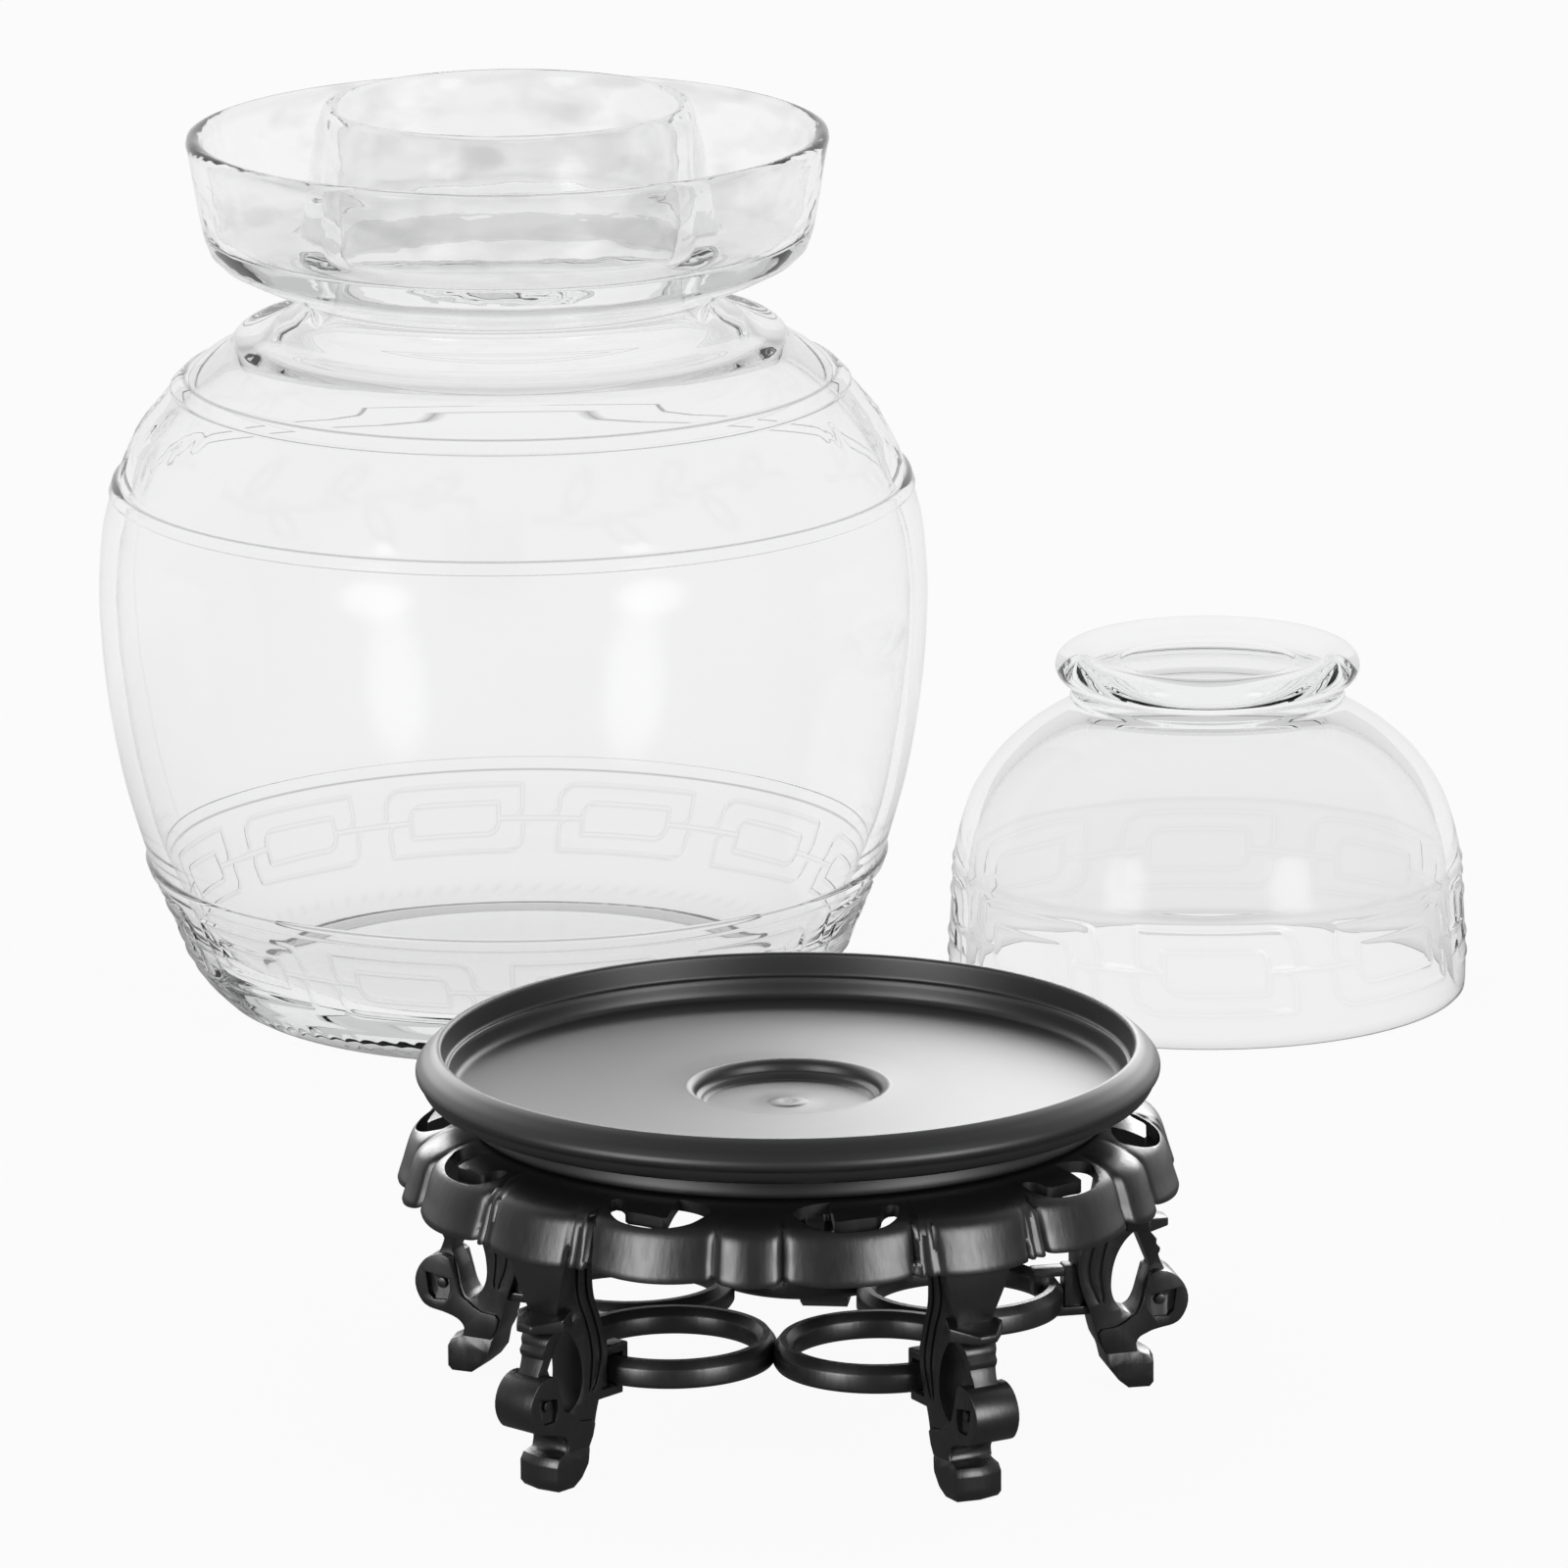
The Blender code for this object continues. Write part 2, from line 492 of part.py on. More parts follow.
def make_legs():
    """Five scrolled legs, alike, each with a hook and a ledge at its back that hold the ring wreath."""
    # Side outline as shares of the depth out from the inner face and of the height.
    side_shares = [(0.38, 1.0), (0.59, 0.95), (0.69, 0.85), (0.718, 0.72), (LEG_FACE_SHARE, 0.6),
                   (0.873, 0.576), (0.859, 0.546), (0.773, 0.49), (0.791, 0.459), (0.9, 0.39), (0.97, 0.34),
                   (1.0, 0.29), (0.96, 0.235), (0.85, 0.205), (0.686, 0.191), (0.573, 0.15), (0.595, 0.131),
                   (0.691, 0.115), (0.727, 0.08), (0.718, 0.018), (0.68, 0), (0.5, 0), (0.368, 0.066),
                   (0.314, 0.119), (0.214, 0.174), (0.159, 0.228), (0.118, 0.293), (0.045, 0.363),
                   (0.01, 0.41), (0, 0.55), (0.02, 0.7), (0.06, 0.82), (0.08, 1.0)]
    hole_shares = [(0.586, 0.541), (0.45, 0.468), (0.386, 0.408), (0.377, 0.357), (0.427, 0.299),
                   (0.532, 0.256), (0.586, 0.291), (0.614, 0.338), (0.673, 0.377), (0.75, 0.394),
                   (0.695, 0.459)]
    # Front outline as shares of the half width and of the height.
    front_shares = [(1.0, 1.0), (1.0, 0.82), (0.86, 0.7), (0.69, 0.605), (0.555, 0.53), (0.555, 0.16),
                    (0.61, 0.11), (0.61, 0.016), (0.57, 0)]
    recess_shares = [(0.5, 0.5), (-0.34, 0.3), (-0.44, -0.64), (0.24, -0.58), (0.66, 0.3)]
    scroll_shares = (0.8, 0.298)

    def at(shares):
        return [(LEG_INNER_RADIUS + LEG_DEPTH * out, LEG_TOP * up) for out, up in shares]

    upright = (math.pi / 2, 0, 0)
    blank = slab("leg_blank", [at(side_shares), at(hole_shares)], LEG_HALF_WIDTH, upright)
    leg = place("leg_blank", blank, None, folder=CUTTERS)
    half = [(LEG_HALF_WIDTH * across, LEG_TOP * up) for across, up in front_shares]
    front = half + [(-x, z) for x, z in half[::-1]]
    middle = (LEG_INNER_RADIUS + LEG_DEPTH / 2, 0, 0)
    mask_mesh = slab("leg_front", [front], LEG_DEPTH / 2 + CUT_OVERRUN, (math.pi / 2, 0, math.pi / 2), middle)
    combine(leg, place("leg_front", mask_mesh, None, folder=CUTTERS), "INTERSECT")

    scroll_out, scroll_up = at([scroll_shares])[0]
    last_degrees = 360 - 360 / SCROLL_SIDES
    circle = arc_points((scroll_out, scroll_up), SCROLL_RADIUS, 0, last_degrees, SCROLL_SIDES - 1)
    drum = slab("leg_scroll", [circle], SCROLL_HALF_LENGTH, upright)
    combine(leg, place("leg_scroll", drum, None, folder=CUTTERS), "UNION")
    pocket = [(scroll_out + SCROLL_RADIUS * x, scroll_up + SCROLL_RADIUS * z) for x, z in recess_shares]
    for name, side in (("left", 1), ("right", -1)):
        centre = (0, side * (SCROLL_HALF_LENGTH + CUT_OVERRUN - SCROLL_RECESS), 0)
        mesh = slab(f"scroll_pocket_{name}", [pocket], CUT_OVERRUN, upright, centre)
        combine(leg, place(f"scroll_pocket_{name}", mesh, None, folder=CUTTERS), "DIFFERENCE")

    ring_outer = RING_CENTRE_RADIUS + RING_RADIUS
    ring_inner = ring_outer - RING_BAR_WIDTH
    root = ring_outer + LEG_DEPTH * 0.2
    hook_bottom = RING_TOP + SEAT_GAP
    lip_outer = ring_inner - SEAT_GAP
    hook = box_mesh("leg_hook", (lip_outer - HOOK_LIP, -HOOK_HALF_WIDTH, hook_bottom),
                    (root, HOOK_HALF_WIDTH, hook_bottom + HOOK_THICK))
    lip = box_mesh("leg_hook_lip", (lip_outer - HOOK_LIP, -HOOK_HALF_WIDTH, hook_bottom - HOOK_LIP_DROP),
                   (lip_outer, HOOK_HALF_WIDTH, hook_bottom + HOOK_THICK / 2))
    ledge_top = RING_BOTTOM - SEAT_GAP
    ledge = box_mesh("leg_ledge", (ring_outer - LEDGE_REACH, -LEDGE_HALF_WIDTH, ledge_top - LEDGE_THICK),
                     (root, LEDGE_HALF_WIDTH, ledge_top))
    for mesh in (hook, lip, ledge):
        combine(leg, place(mesh.name, mesh, None, folder=CUTTERS), "UNION")

    shape = closed_mesh(evaluated_mesh(leg))
    for index in range(LEG_COUNT):
        turn = math.radians(FIRST_LEG_AZIMUTH + index * LEG_STEP - 90)
        place(f"leg_{index + 1}", shape, PLASTIC, STAND_PLACE, turn)


def make_wreath():
    """Wreath of five flat rings moulded in one piece, one behind each leg, each crossing its neighbours."""
    inner, outer = RING_RADIUS - RING_BAR_WIDTH, RING_RADIUS
    section = [(inner, RING_BOTTOM), (inner, RING_TOP - RING_BEVEL), (inner + RING_BEVEL, RING_TOP),
               (outer - RING_BEVEL, RING_TOP), (outer, RING_TOP - RING_BEVEL), (outer, RING_BOTTOM)]
    rings = []
    for index in range(LEG_COUNT):
        x, y = azimuth_place(FIRST_LEG_AZIMUTH + index * LEG_STEP, RING_CENTRE_RADIUS)
        centre = (STAND_PLACE[0] + x, STAND_PLACE[1] + y)
        title = f"ring_{index + 1}" if index else "ring_wreath"
        rings.append(turned(title, section, PLASTIC if not index else None, centre, RING_SIDES, closed=True,
                            folder=CUTTERS if index else None))
    for ring in rings[1:]:
        combine(rings[0], ring, "UNION")


make_jar()
make_lid()
make_tray()
make_apron()
make_legs()
make_wreath()
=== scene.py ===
"""Glass water seal pickle jar with its glass bowl lid and black moulded stand, around the fixed frame.

Metres, +Z up. The jar stands at the back left, the lid on its rim at the back right, the stand in front.
Azimuths on a turned piece are measured from the front (-Y), growing towards +X.
"""
import math

import bmesh
import bpy
import numpy as np
from mathutils import Matrix, Vector


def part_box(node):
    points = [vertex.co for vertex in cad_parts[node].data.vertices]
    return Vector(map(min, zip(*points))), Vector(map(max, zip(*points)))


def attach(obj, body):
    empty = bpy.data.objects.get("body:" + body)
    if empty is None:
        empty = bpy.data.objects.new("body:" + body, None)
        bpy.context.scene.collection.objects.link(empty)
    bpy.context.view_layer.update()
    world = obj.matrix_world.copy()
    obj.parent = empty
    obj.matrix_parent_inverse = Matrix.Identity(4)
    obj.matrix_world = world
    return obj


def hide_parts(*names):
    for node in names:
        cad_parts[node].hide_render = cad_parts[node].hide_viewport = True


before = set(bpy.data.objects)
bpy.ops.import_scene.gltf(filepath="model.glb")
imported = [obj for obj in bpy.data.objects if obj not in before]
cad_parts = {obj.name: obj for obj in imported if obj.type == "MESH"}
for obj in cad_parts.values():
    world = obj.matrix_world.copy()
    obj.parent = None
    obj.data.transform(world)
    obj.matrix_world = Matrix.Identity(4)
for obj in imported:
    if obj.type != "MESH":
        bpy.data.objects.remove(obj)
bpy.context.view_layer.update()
MM = 0.001


# Camera and studio.
# A long lens a little above the table, as in the photograph, a white table without an edge, a white
# backdrop, and two soft boxes in front. The black stand gets stronger ones of its own, and one behind it.
CAMERA_PLACE = (-0.45 * MM, -2148.3 * MM, 617.7 * MM)
CAMERA_DOWN = math.radians(14.15)
CAMERA_ROLL = math.radians(-0.45)
CAMERA_LENS = 270.0
SENSOR_WIDTH = 36.0

camera_data = bpy.data.cameras.new("photo_camera")
camera_data.lens = CAMERA_LENS
camera_data.sensor_width = SENSOR_WIDTH
camera_data.clip_start = 0.01
camera_data.clip_end = 30.0
camera = bpy.data.objects.new("photo_camera", camera_data)
bpy.context.scene.collection.objects.link(camera)
aim = Matrix.Rotation(math.pi / 2 - CAMERA_DOWN, 3, "X") @ Matrix.Rotation(CAMERA_ROLL, 3, "Z")
camera.location = CAMERA_PLACE
camera.rotation_euler = aim.to_euler()
bpy.context.scene.camera = camera
bpy.context.scene.view_settings.view_transform = "Standard"

TABLE_SIZE = 12.0
TABLE_TOP = -0.2 * MM
TABLE_WHITE = (0.93, 0.93, 0.93, 1.0)
TABLE_SHADOW = 0.06                    # share of the table's own shading that a camera or glass ray sees
TABLE_SHADOW_MIRRORED = 0.1            # the same share in a mirror image
TABLE_MIRRORED_PLACES = (0.08, 0.34)   # along Y, where its mirror image turns from dim to pale
TABLE_MIRRORED_LEVELS = (0.12, 0.85)   # how bright that image is by the pieces and behind them

bpy.ops.mesh.primitive_grid_add(x_subdivisions=4, y_subdivisions=4, size=TABLE_SIZE,
                                location=(0, 0, TABLE_TOP))
table = bpy.context.active_object
table.name = "table"
table_finish = bpy.data.materials.new("white_table")
table_finish.use_nodes = True


def feed(tree, value, socket):
    """Sets a socket to a number, or links another node's output to it."""
    if isinstance(value, float):
        socket.default_value = value
    else:
        tree.links.new(value, socket)


def by_ray(tree, base, mirrored, through, straight):
    """A number for rays by mirror, through glass and straight from the camera, and a base for the rest."""
    path = tree.nodes.new("ShaderNodeLightPath")
    level = base
    for kind, there in (("Is Glossy Ray", mirrored), ("Is Transmission Ray", through),
                        ("Is Camera Ray", straight)):
        step = tree.nodes.new("ShaderNodeMix")
        step.data_type = "FLOAT"
        tree.links.new(path.outputs[kind], step.inputs[0])
        feed(tree, level, step.inputs[2])
        feed(tree, there, step.inputs[3])
        level = step.outputs[0]
    return level


def map_range(tree, value, ends, levels, course="LINEAR"):
    """Turns a number that runs between two ends into one that runs between two levels."""
    step = tree.nodes.new("ShaderNodeMapRange")
    step.interpolation_type = course
    for socket, number in zip(("From Min", "From Max", "To Min", "To Max"), (*ends, *levels)):
        step.inputs[socket].default_value = number
    tree.links.new(value, step.inputs["Value"])
    return step.outputs["Result"]


tree = table_finish.node_tree
nodes, links = tree.nodes, tree.links
nodes.clear()
out = nodes.new("ShaderNodeOutputMaterial")
paint = nodes.new("ShaderNodeBsdfDiffuse")
paint.inputs["Color"].default_value = TABLE_WHITE
glow = nodes.new("ShaderNodeEmission")
blend = nodes.new("ShaderNodeMixShader")
spot = nodes.new("ShaderNodeNewGeometry")
split = nodes.new("ShaderNodeSeparateXYZ")
links.new(spot.outputs["Position"], split.inputs[0])
mirrored = map_range(tree, split.outputs["Y"], TABLE_MIRRORED_PLACES, TABLE_MIRRORED_LEVELS)
seen = 1.0 - TABLE_SHADOW
links.new(by_ray(tree, 0.0, 1.0 - TABLE_SHADOW_MIRRORED, seen, seen), blend.inputs[0])
links.new(by_ray(tree, 1.0, mirrored, 1.0, 1.0), glow.inputs["Strength"])
links.new(paint.outputs[0], blend.inputs[1])
links.new(glow.outputs[0], blend.inputs[2])
links.new(blend.outputs[0], out.inputs["Surface"])
table.data.materials.append(table_finish)

ROOM_LIGHT = 0.5                       # what lights the pieces from all round
ROOM_MIRRORED = 0.14                   # what the glass and the plastic mirror of the dark room in front
ROOM_THROUGH_TOP = 0.78                # what is seen through the glass overhead
BACKDROP = 1.0                         # the white backdrop, mirrored or seen through the glass
FRONT_TO_BACK = (-0.15, 0.6)           # where the dark room turns into the backdrop, as a direction's Y
TOP_TO_TABLE = (0.45, 0.05)            # where the overhead turns into the backdrop, as a direction's Z

world = bpy.data.worlds.new("room")
bpy.context.scene.world = world
world.use_nodes = True
tree = world.node_tree
nodes, links = tree.nodes, tree.links
nodes.clear()
out = nodes.new("ShaderNodeOutputWorld")
air = nodes.new("ShaderNodeBackground")
way = nodes.new("ShaderNodeTexCoord")
split = nodes.new("ShaderNodeSeparateXYZ")
links.new(way.outputs["Generated"], split.inputs[0])
mirrored = map_range(tree, split.outputs["Y"], FRONT_TO_BACK, (ROOM_MIRRORED, BACKDROP), "SMOOTHSTEP")
through = map_range(tree, split.outputs["Z"], TOP_TO_TABLE, (ROOM_THROUGH_TOP, BACKDROP), "SMOOTHSTEP")
links.new(by_ray(tree, ROOM_LIGHT, mirrored, through, 1.0), air.inputs["Strength"])
links.new(air.outputs[0], out.inputs["Surface"])

LAMP_FALL = (0.5, 0.22)                # from a lamp's edge to its core, in shares of its width
LAMP_CORE = 1.9                        # how bright that core is against an even lamp


def soft_box(title, place, target, width, height, power):
    """An oval lamp, brightest in its middle, turned to face what it lights."""
    lamp = bpy.data.lights.new(title, "AREA")
    lamp.shape = "ELLIPSE"
    lamp.size = width
    lamp.size_y = height
    lamp.energy = power
    lamp.use_nodes = True
    tree = lamp.node_tree
    spot = tree.nodes.new("ShaderNodeNewGeometry")
    middle = tree.nodes.new("ShaderNodeVectorMath")
    middle.operation = "DISTANCE"
    middle.inputs[1].default_value = (0.5, 0.5, 0.0)
    tree.links.new(spot.outputs["Parametric"], middle.inputs[0])
    fall = map_range(tree, middle.outputs["Value"], LAMP_FALL, (0.0, LAMP_CORE), "SMOOTHERSTEP")
    tree.links.new(fall, tree.nodes["Emission"].inputs["Strength"])
    holder = bpy.data.objects.new(title, lamp)
    holder.location = place
    holder.rotation_euler = (Vector(target) - Vector(place)).to_track_quat("-Z", "Y").to_euler()
    bpy.context.scene.collection.objects.link(holder)
    return holder


GLASS_TARGET, STAND_TARGET = (0, 0, 0.08), (0, -0.15, 0.05)
FRONT_BOX = (0.95, 1.1, 4.2)           # width, height and power
STAND_BOX = (1.5, 1.5, 17.0)
STAND_BOX_BEHIND = (3.2, 1.15, 36.0)

soft_box("soft_box_left", (-1.25, -1.45, 0.5), GLASS_TARGET, *FRONT_BOX)
soft_box("soft_box_right", (1.25, -1.45, 0.5), GLASS_TARGET, *FRONT_BOX)
stand_pieces = bpy.data.collections.new("stand_pieces")
for lamp in (soft_box("stand_box_left", (-1.35, -1.45, 0.62), STAND_TARGET, *STAND_BOX),
             soft_box("stand_box_right", (1.35, -1.45, 0.62), STAND_TARGET, *STAND_BOX),
             soft_box("stand_box_behind", (0, 1.3, 0.68), STAND_TARGET, *STAND_BOX_BEHIND)):
    lamp.visible_transmission = False
    lamp.light_linking.receiver_collection = stand_pieces


# Jar.
# One pressed piece of clear glass: foot, swelling body with three flat raised bands, a key fret over the
# foot, leaf sprigs on the shoulder, and a neck inside a wide water moat. It stands on its foot.
FRET_UNITS = 12
UNIT_COLUMNS = 40
BODY_TURNS = FRET_UNITS * UNIT_COLUMNS
WELD = 0.004 * MM

jar_low, jar_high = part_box("jar")
jar_x, jar_y = (jar_low.x + jar_high.x) / 2, (jar_low.y + jar_high.y) / 2


def pick(*pieces):
    """Selects these objects and nothing else, with the first one active."""
    if bpy.context.object and bpy.context.object.mode != "OBJECT":
        bpy.ops.object.mode_set(mode="OBJECT")
    bpy.ops.object.select_all(action="DESELECT")
    for piece in pieces:
        piece.select_set(True)
    bpy.context.view_layer.objects.active = pieces[0]


def smooth_line(points, gap):
    """Reads a smooth line through given (radius, height) points in mm, about every gap mm."""
    ends = [points[0], *points, points[-1]]
    read = []
    for a, b, c, d in zip(ends, ends[1:], ends[2:], ends[3:]):
        count = max(1, round(math.dist(b, c) / gap))
        for i in range(count):
            t = i / count
            read.append(tuple(
                q + t * ((r - p) / 2
                         + t * ((p - 2.5 * q + 2 * r - s / 2) + t * (1.5 * (q - r) + (s - p) / 2)))
                for p, q, r, s in zip(a, b, c, d)))
    return read + [points[-1]]


def trace(title, route, closed=False):
    """Extrudes one vertex along a route of points in metres and leaves the string of edges as an object."""
    bpy.ops.mesh.primitive_plane_add(size=MM, location=route[0])
    piece = bpy.context.active_object
    piece.name = title
    piece.data.name = title
    bpy.ops.object.mode_set(mode="EDIT")
    bpy.ops.mesh.select_all(action="SELECT")
    bpy.ops.mesh.merge(type="CENTER")
    for here, there in zip(route, route[1:] + (route[:1] if closed else [])):
        step = [q - p for p, q in zip(here, there)]
        bpy.ops.mesh.extrude_region_move(TRANSFORM_OT_translate={"value": step})
    bpy.ops.mesh.select_all(action="SELECT")
    bpy.ops.mesh.remove_doubles(threshold=WELD)
    bpy.ops.object.mode_set(mode="OBJECT")
    pick(piece)
    bpy.ops.object.transform_apply(location=True, rotation=True, scale=True)
    return piece


def turn_section(title, outline, centre, turns, closed=False):
    """Spins a section given in mm about an upright axis and closes it."""
    piece = trace(title, [(centre[0] + r * MM, centre[1], z * MM) for r, z in outline], closed)
    bpy.ops.object.mode_set(mode="EDIT")
    bpy.ops.mesh.select_all(action="SELECT")
    bpy.ops.mesh.spin(steps=turns, angle=2 * math.pi, center=(*centre, 0), axis=(0, 0, 1))
    bpy.ops.mesh.select_all(action="SELECT")
    bpy.ops.mesh.remove_doubles(threshold=WELD)
    bpy.ops.mesh.normals_make_consistent(inside=False)
    bpy.ops.object.mode_set(mode="OBJECT")
    bpy.ops.object.shade_smooth()
    return piece


JAR_BODY = [(57.0, 0.4), (58.6, 1.2), (60.6, 3.0), (63.5, 6.0), (65.9, 10.0), (67.8, 15.0), (69.9, 20.0),
            (71.9, 25.0), (73.5, 29.2), (75.6, 36.0), (78.1, 45.0), (80.1, 55.0), (81.5, 65.0),
            (82.3, 75.0), (82.55, 84.0), (81.9, 94.0), (80.8, 100.0), (79.0, 105.1), (77.2, 110.0),
            (74.1, 116.0), (70.4, 121.0), (65.8, 126.0), (60.9, 130.0), (56.6, 132.4), (55.0, 133.4)]
JAR_BANDS = (28.3, 105.1, 126.0)
BAND_PROUD, BAND_HALF, BAND_EDGE = 0.85, 1.0, 0.45
FRET_HEIGHTS = (11.3, 14.7, 17.75, 20.8, 24.4)     # frame, inner frame, link, inner frame, frame
SPRIG_LOW, SPRIG_HIGH = 107.5, 123.5

body_line = smooth_line(JAR_BODY, 0.5)
body_r, body_z = np.array(body_line).T
band_foot = BAND_HALF + BAND_EDGE
band_rows = [BAND_HALF / 2, BAND_HALF, BAND_HALF + BAND_EDGE / 2, band_foot, band_foot + 0.3]
marks = [band + side * row for band in JAR_BANDS for row in band_rows for side in (-1, 1)]
marks += [line + row for line in FRET_HEIGHTS for row in (-0.8, -0.4, 0.0, 0.4, 0.8)]


def rows_over(low, high, marks, gap):
    """Heights from low to high: the marks, and even steps of at most a gap between them."""
    rows = [low]
    for there in sorted(mark for mark in marks if low < mark < high - 0.1) + [high]:
        here = rows[-1]
        count = math.ceil((there - here) / gap(here))
        rows += [here + (there - here) * i / count for i in range(1, count + 1)]
    return rows


SPRIG_GAP, PLAIN_GAP, FRET_GAP = 0.85, 5.0, 1.2
PLAIN_LOW, PLAIN_HIGH = 31.0, 100.0


def row_gap(height):
    """How far apart the body's rows of vertices may be at a height: closer where there is relief."""
    if SPRIG_LOW - 0.5 <= height <= SPRIG_HIGH:
        return SPRIG_GAP
    return PLAIN_GAP if PLAIN_LOW < height < PLAIN_HIGH else FRET_GAP


rows = rows_over(JAR_BODY[0][1], JAR_BODY[-1][1], marks, row_gap)
outer_body = [(float(np.interp(z, body_z, body_r)), z) for z in rows]

# Bead, collar and waist of the neck, the moat's outside, rim and inside, then the neck inside the moat.
upper_outside = (
    smooth_line([(54.9, 134.0), (54.7, 135.0), (53.6, 135.9), (52.0, 136.2), (49.0, 136.3),
                 (47.2, 136.7)], 0.7)
    + smooth_line([(46.3, 137.4), (45.6, 138.2), (43.4, 138.9), (41.2, 140.0), (40.2, 141.6), (40.4, 143.0),
                   (41.6, 144.0), (44.0, 144.7), (47.6, 146.0), (51.0, 147.6), (54.6, 149.2), (57.2, 150.6),
                   (59.2, 152.6), (60.2, 155.2), (60.9, 158.5), (61.7, 163.0), (62.5, 168.0), (63.2, 172.0),
                   (63.6, 174.0), (63.3, 175.0), (62.4, 175.4), (61.2, 175.2), (60.4, 174.2)], 2.2)
    + smooth_line([(60.2, 172.5), (59.4, 168.0), (58.6, 163.0), (57.9, 158.5), (57.0, 156.0), (55.0, 154.6),
                   (52.0, 154.1), (47.0, 154.0), (43.4, 154.3), (41.6, 155.6), (40.9, 158.0), (40.3, 162.0),
                   (39.7, 167.0), (38.9, 172.0), (37.7, 177.0), (36.7, 180.0), (36.1, 180.9), (35.2, 181.25),
                   (34.4, 180.9), (34.0, 180.0)], 2.4))
jar_inside = smooth_line(
    [(33.9, 176.0), (33.8, 166.0), (33.8, 156.0), (33.9, 148.0), (34.6, 142.0), (36.6, 137.2),
     (41.0, 133.4), (48.0, 130.6), (55.0, 127.8), (61.4, 124.0), (66.5, 119.4), (71.6, 112.4),
     (75.2, 105.1), (77.6, 97.0), (79.0, 86.0), (78.9, 76.0), (77.6, 62.0), (75.2, 48.0), (71.8, 35.0),
     (67.8, 24.0), (63.8, 16.0), (59.6, 11.4), (56.0, 9.2), (52.6, 8.1), (48.0, 7.9), (30.0, 7.8),
     (0.0, 7.8)], 8.0)
jar_under = [(0.0, 2.6), (20.0, 2.6), (40.0, 2.5), (48.0, 2.2), (51.5, 1.2), (52.6, 0.3), (53.4, 0.0),
             (56.0, 0.0)]


def bridge(piece, low, high):
    """Closes the gap between two open rims whose vertices lie between two heights in mm."""
    pick(piece)
    bpy.ops.object.mode_set(mode="EDIT")
    bpy.ops.mesh.select_all(action="DESELECT")
    bpy.ops.mesh.select_mode(type="EDGE")
    mesh = bmesh.from_edit_mesh(piece.data)
    for edge in mesh.edges:
        edge.select = edge.is_boundary and all(low * MM < v.co.z < high * MM for v in edge.verts)
    bmesh.update_edit_mesh(piece.data)
    bpy.ops.mesh.bridge_edge_loops()
    bpy.ops.mesh.select_mode(type="VERT")
    bpy.ops.object.mode_set(mode="OBJECT")


# The relief of the body needs twice the columns of the rest, so the two are turned apart and bridged.
jar_piece = turn_section("jar_glass", outer_body, (jar_x, jar_y), BODY_TURNS)
rest_of_jar = upper_outside + jar_inside + jar_under
inner_piece = turn_section("jar_inside", rest_of_jar, (jar_x, jar_y), BODY_TURNS // 2)
pick(jar_piece, inner_piece)
bpy.ops.object.join()
bridge(jar_piece, -0.1, 0.6)
bridge(jar_piece, 133.0, 134.5)
bpy.ops.object.mode_set(mode="EDIT")
bpy.ops.mesh.select_all(action="SELECT")
bpy.ops.mesh.normals_make_consistent(inside=False)
bpy.ops.object.mode_set(mode="OBJECT")
bpy.ops.object.shade_smooth()


def ridge(distance, half):
    """Height share of a rounded raised line at a distance from its middle."""
    return np.exp(-(distance / half) ** 2)


def flanks(share):
    """How much of a raised line's side a height share is: most half way up, nothing at its foot and top."""
    return 4 * share * (1 - share)


def box_line(x, y, half_x, half_y, round_by):
    """Distance from the outline of a box with rounded corners; round_by may differ from corner to corner."""
    qx, qy = np.abs(x) - half_x + round_by, np.abs(y) - half_y + round_by
    outside = np.hypot(np.maximum(qx, 0), np.maximum(qy, 0))
    return np.abs(outside + np.minimum(np.maximum(qx, qy), 0) - round_by)


def fret_relief(azimuth, height, heights, units, phase, radius, halves, half):
    """A common key fret in mm: a frame round an inner frame, and a line that threads them all.

    Above the line the frame's sides run into it towards the right, below it they come out of its left.
    """
    width = 2 * math.pi * radius / units
    x = (((azimuth - phase) * units / (2 * math.pi) + 0.5) % 1.0 - 0.5) * width
    y = height - heights[2]
    frame_half, inner_half = (share * width for share in halves)
    tall = (heights[4] - heights[0]) / 2
    small = (heights[3] - heights[1]) / 2
    turn = small * 0.75
    same_side = np.where(x * y > 0, tall * 0.55, half * 0.4)
    lines = box_line(x, y, frame_half, tall, same_side)
    lines = np.where((np.abs(y) < turn) & (np.abs(np.abs(x) - frame_half) < turn * 1.6), width, lines)
    for side in (-frame_half, frame_half):
        for up in (-1, 1):
            corner = np.abs(np.hypot(x - side - up * turn, y - up * turn) - turn)
            near = (y * up < turn) & (y * up > -half) & ((x - side) * up < turn)
            lines = np.where(near, np.minimum(lines, corner), lines)
    lines = np.minimum(lines, box_line(x, y, inner_half, small, np.where(x * y > 0, small * 0.9, half * 0.8)))
    lines = np.minimum(lines, np.where(np.abs(x) > inner_half, np.abs(y), width))
    return ridge(lines, half)


PLAIN_COLUMN, FRAME_COLUMN, LINE_COLUMN = 1.35, 0.75, 0.24     # how far apart the columns then lie


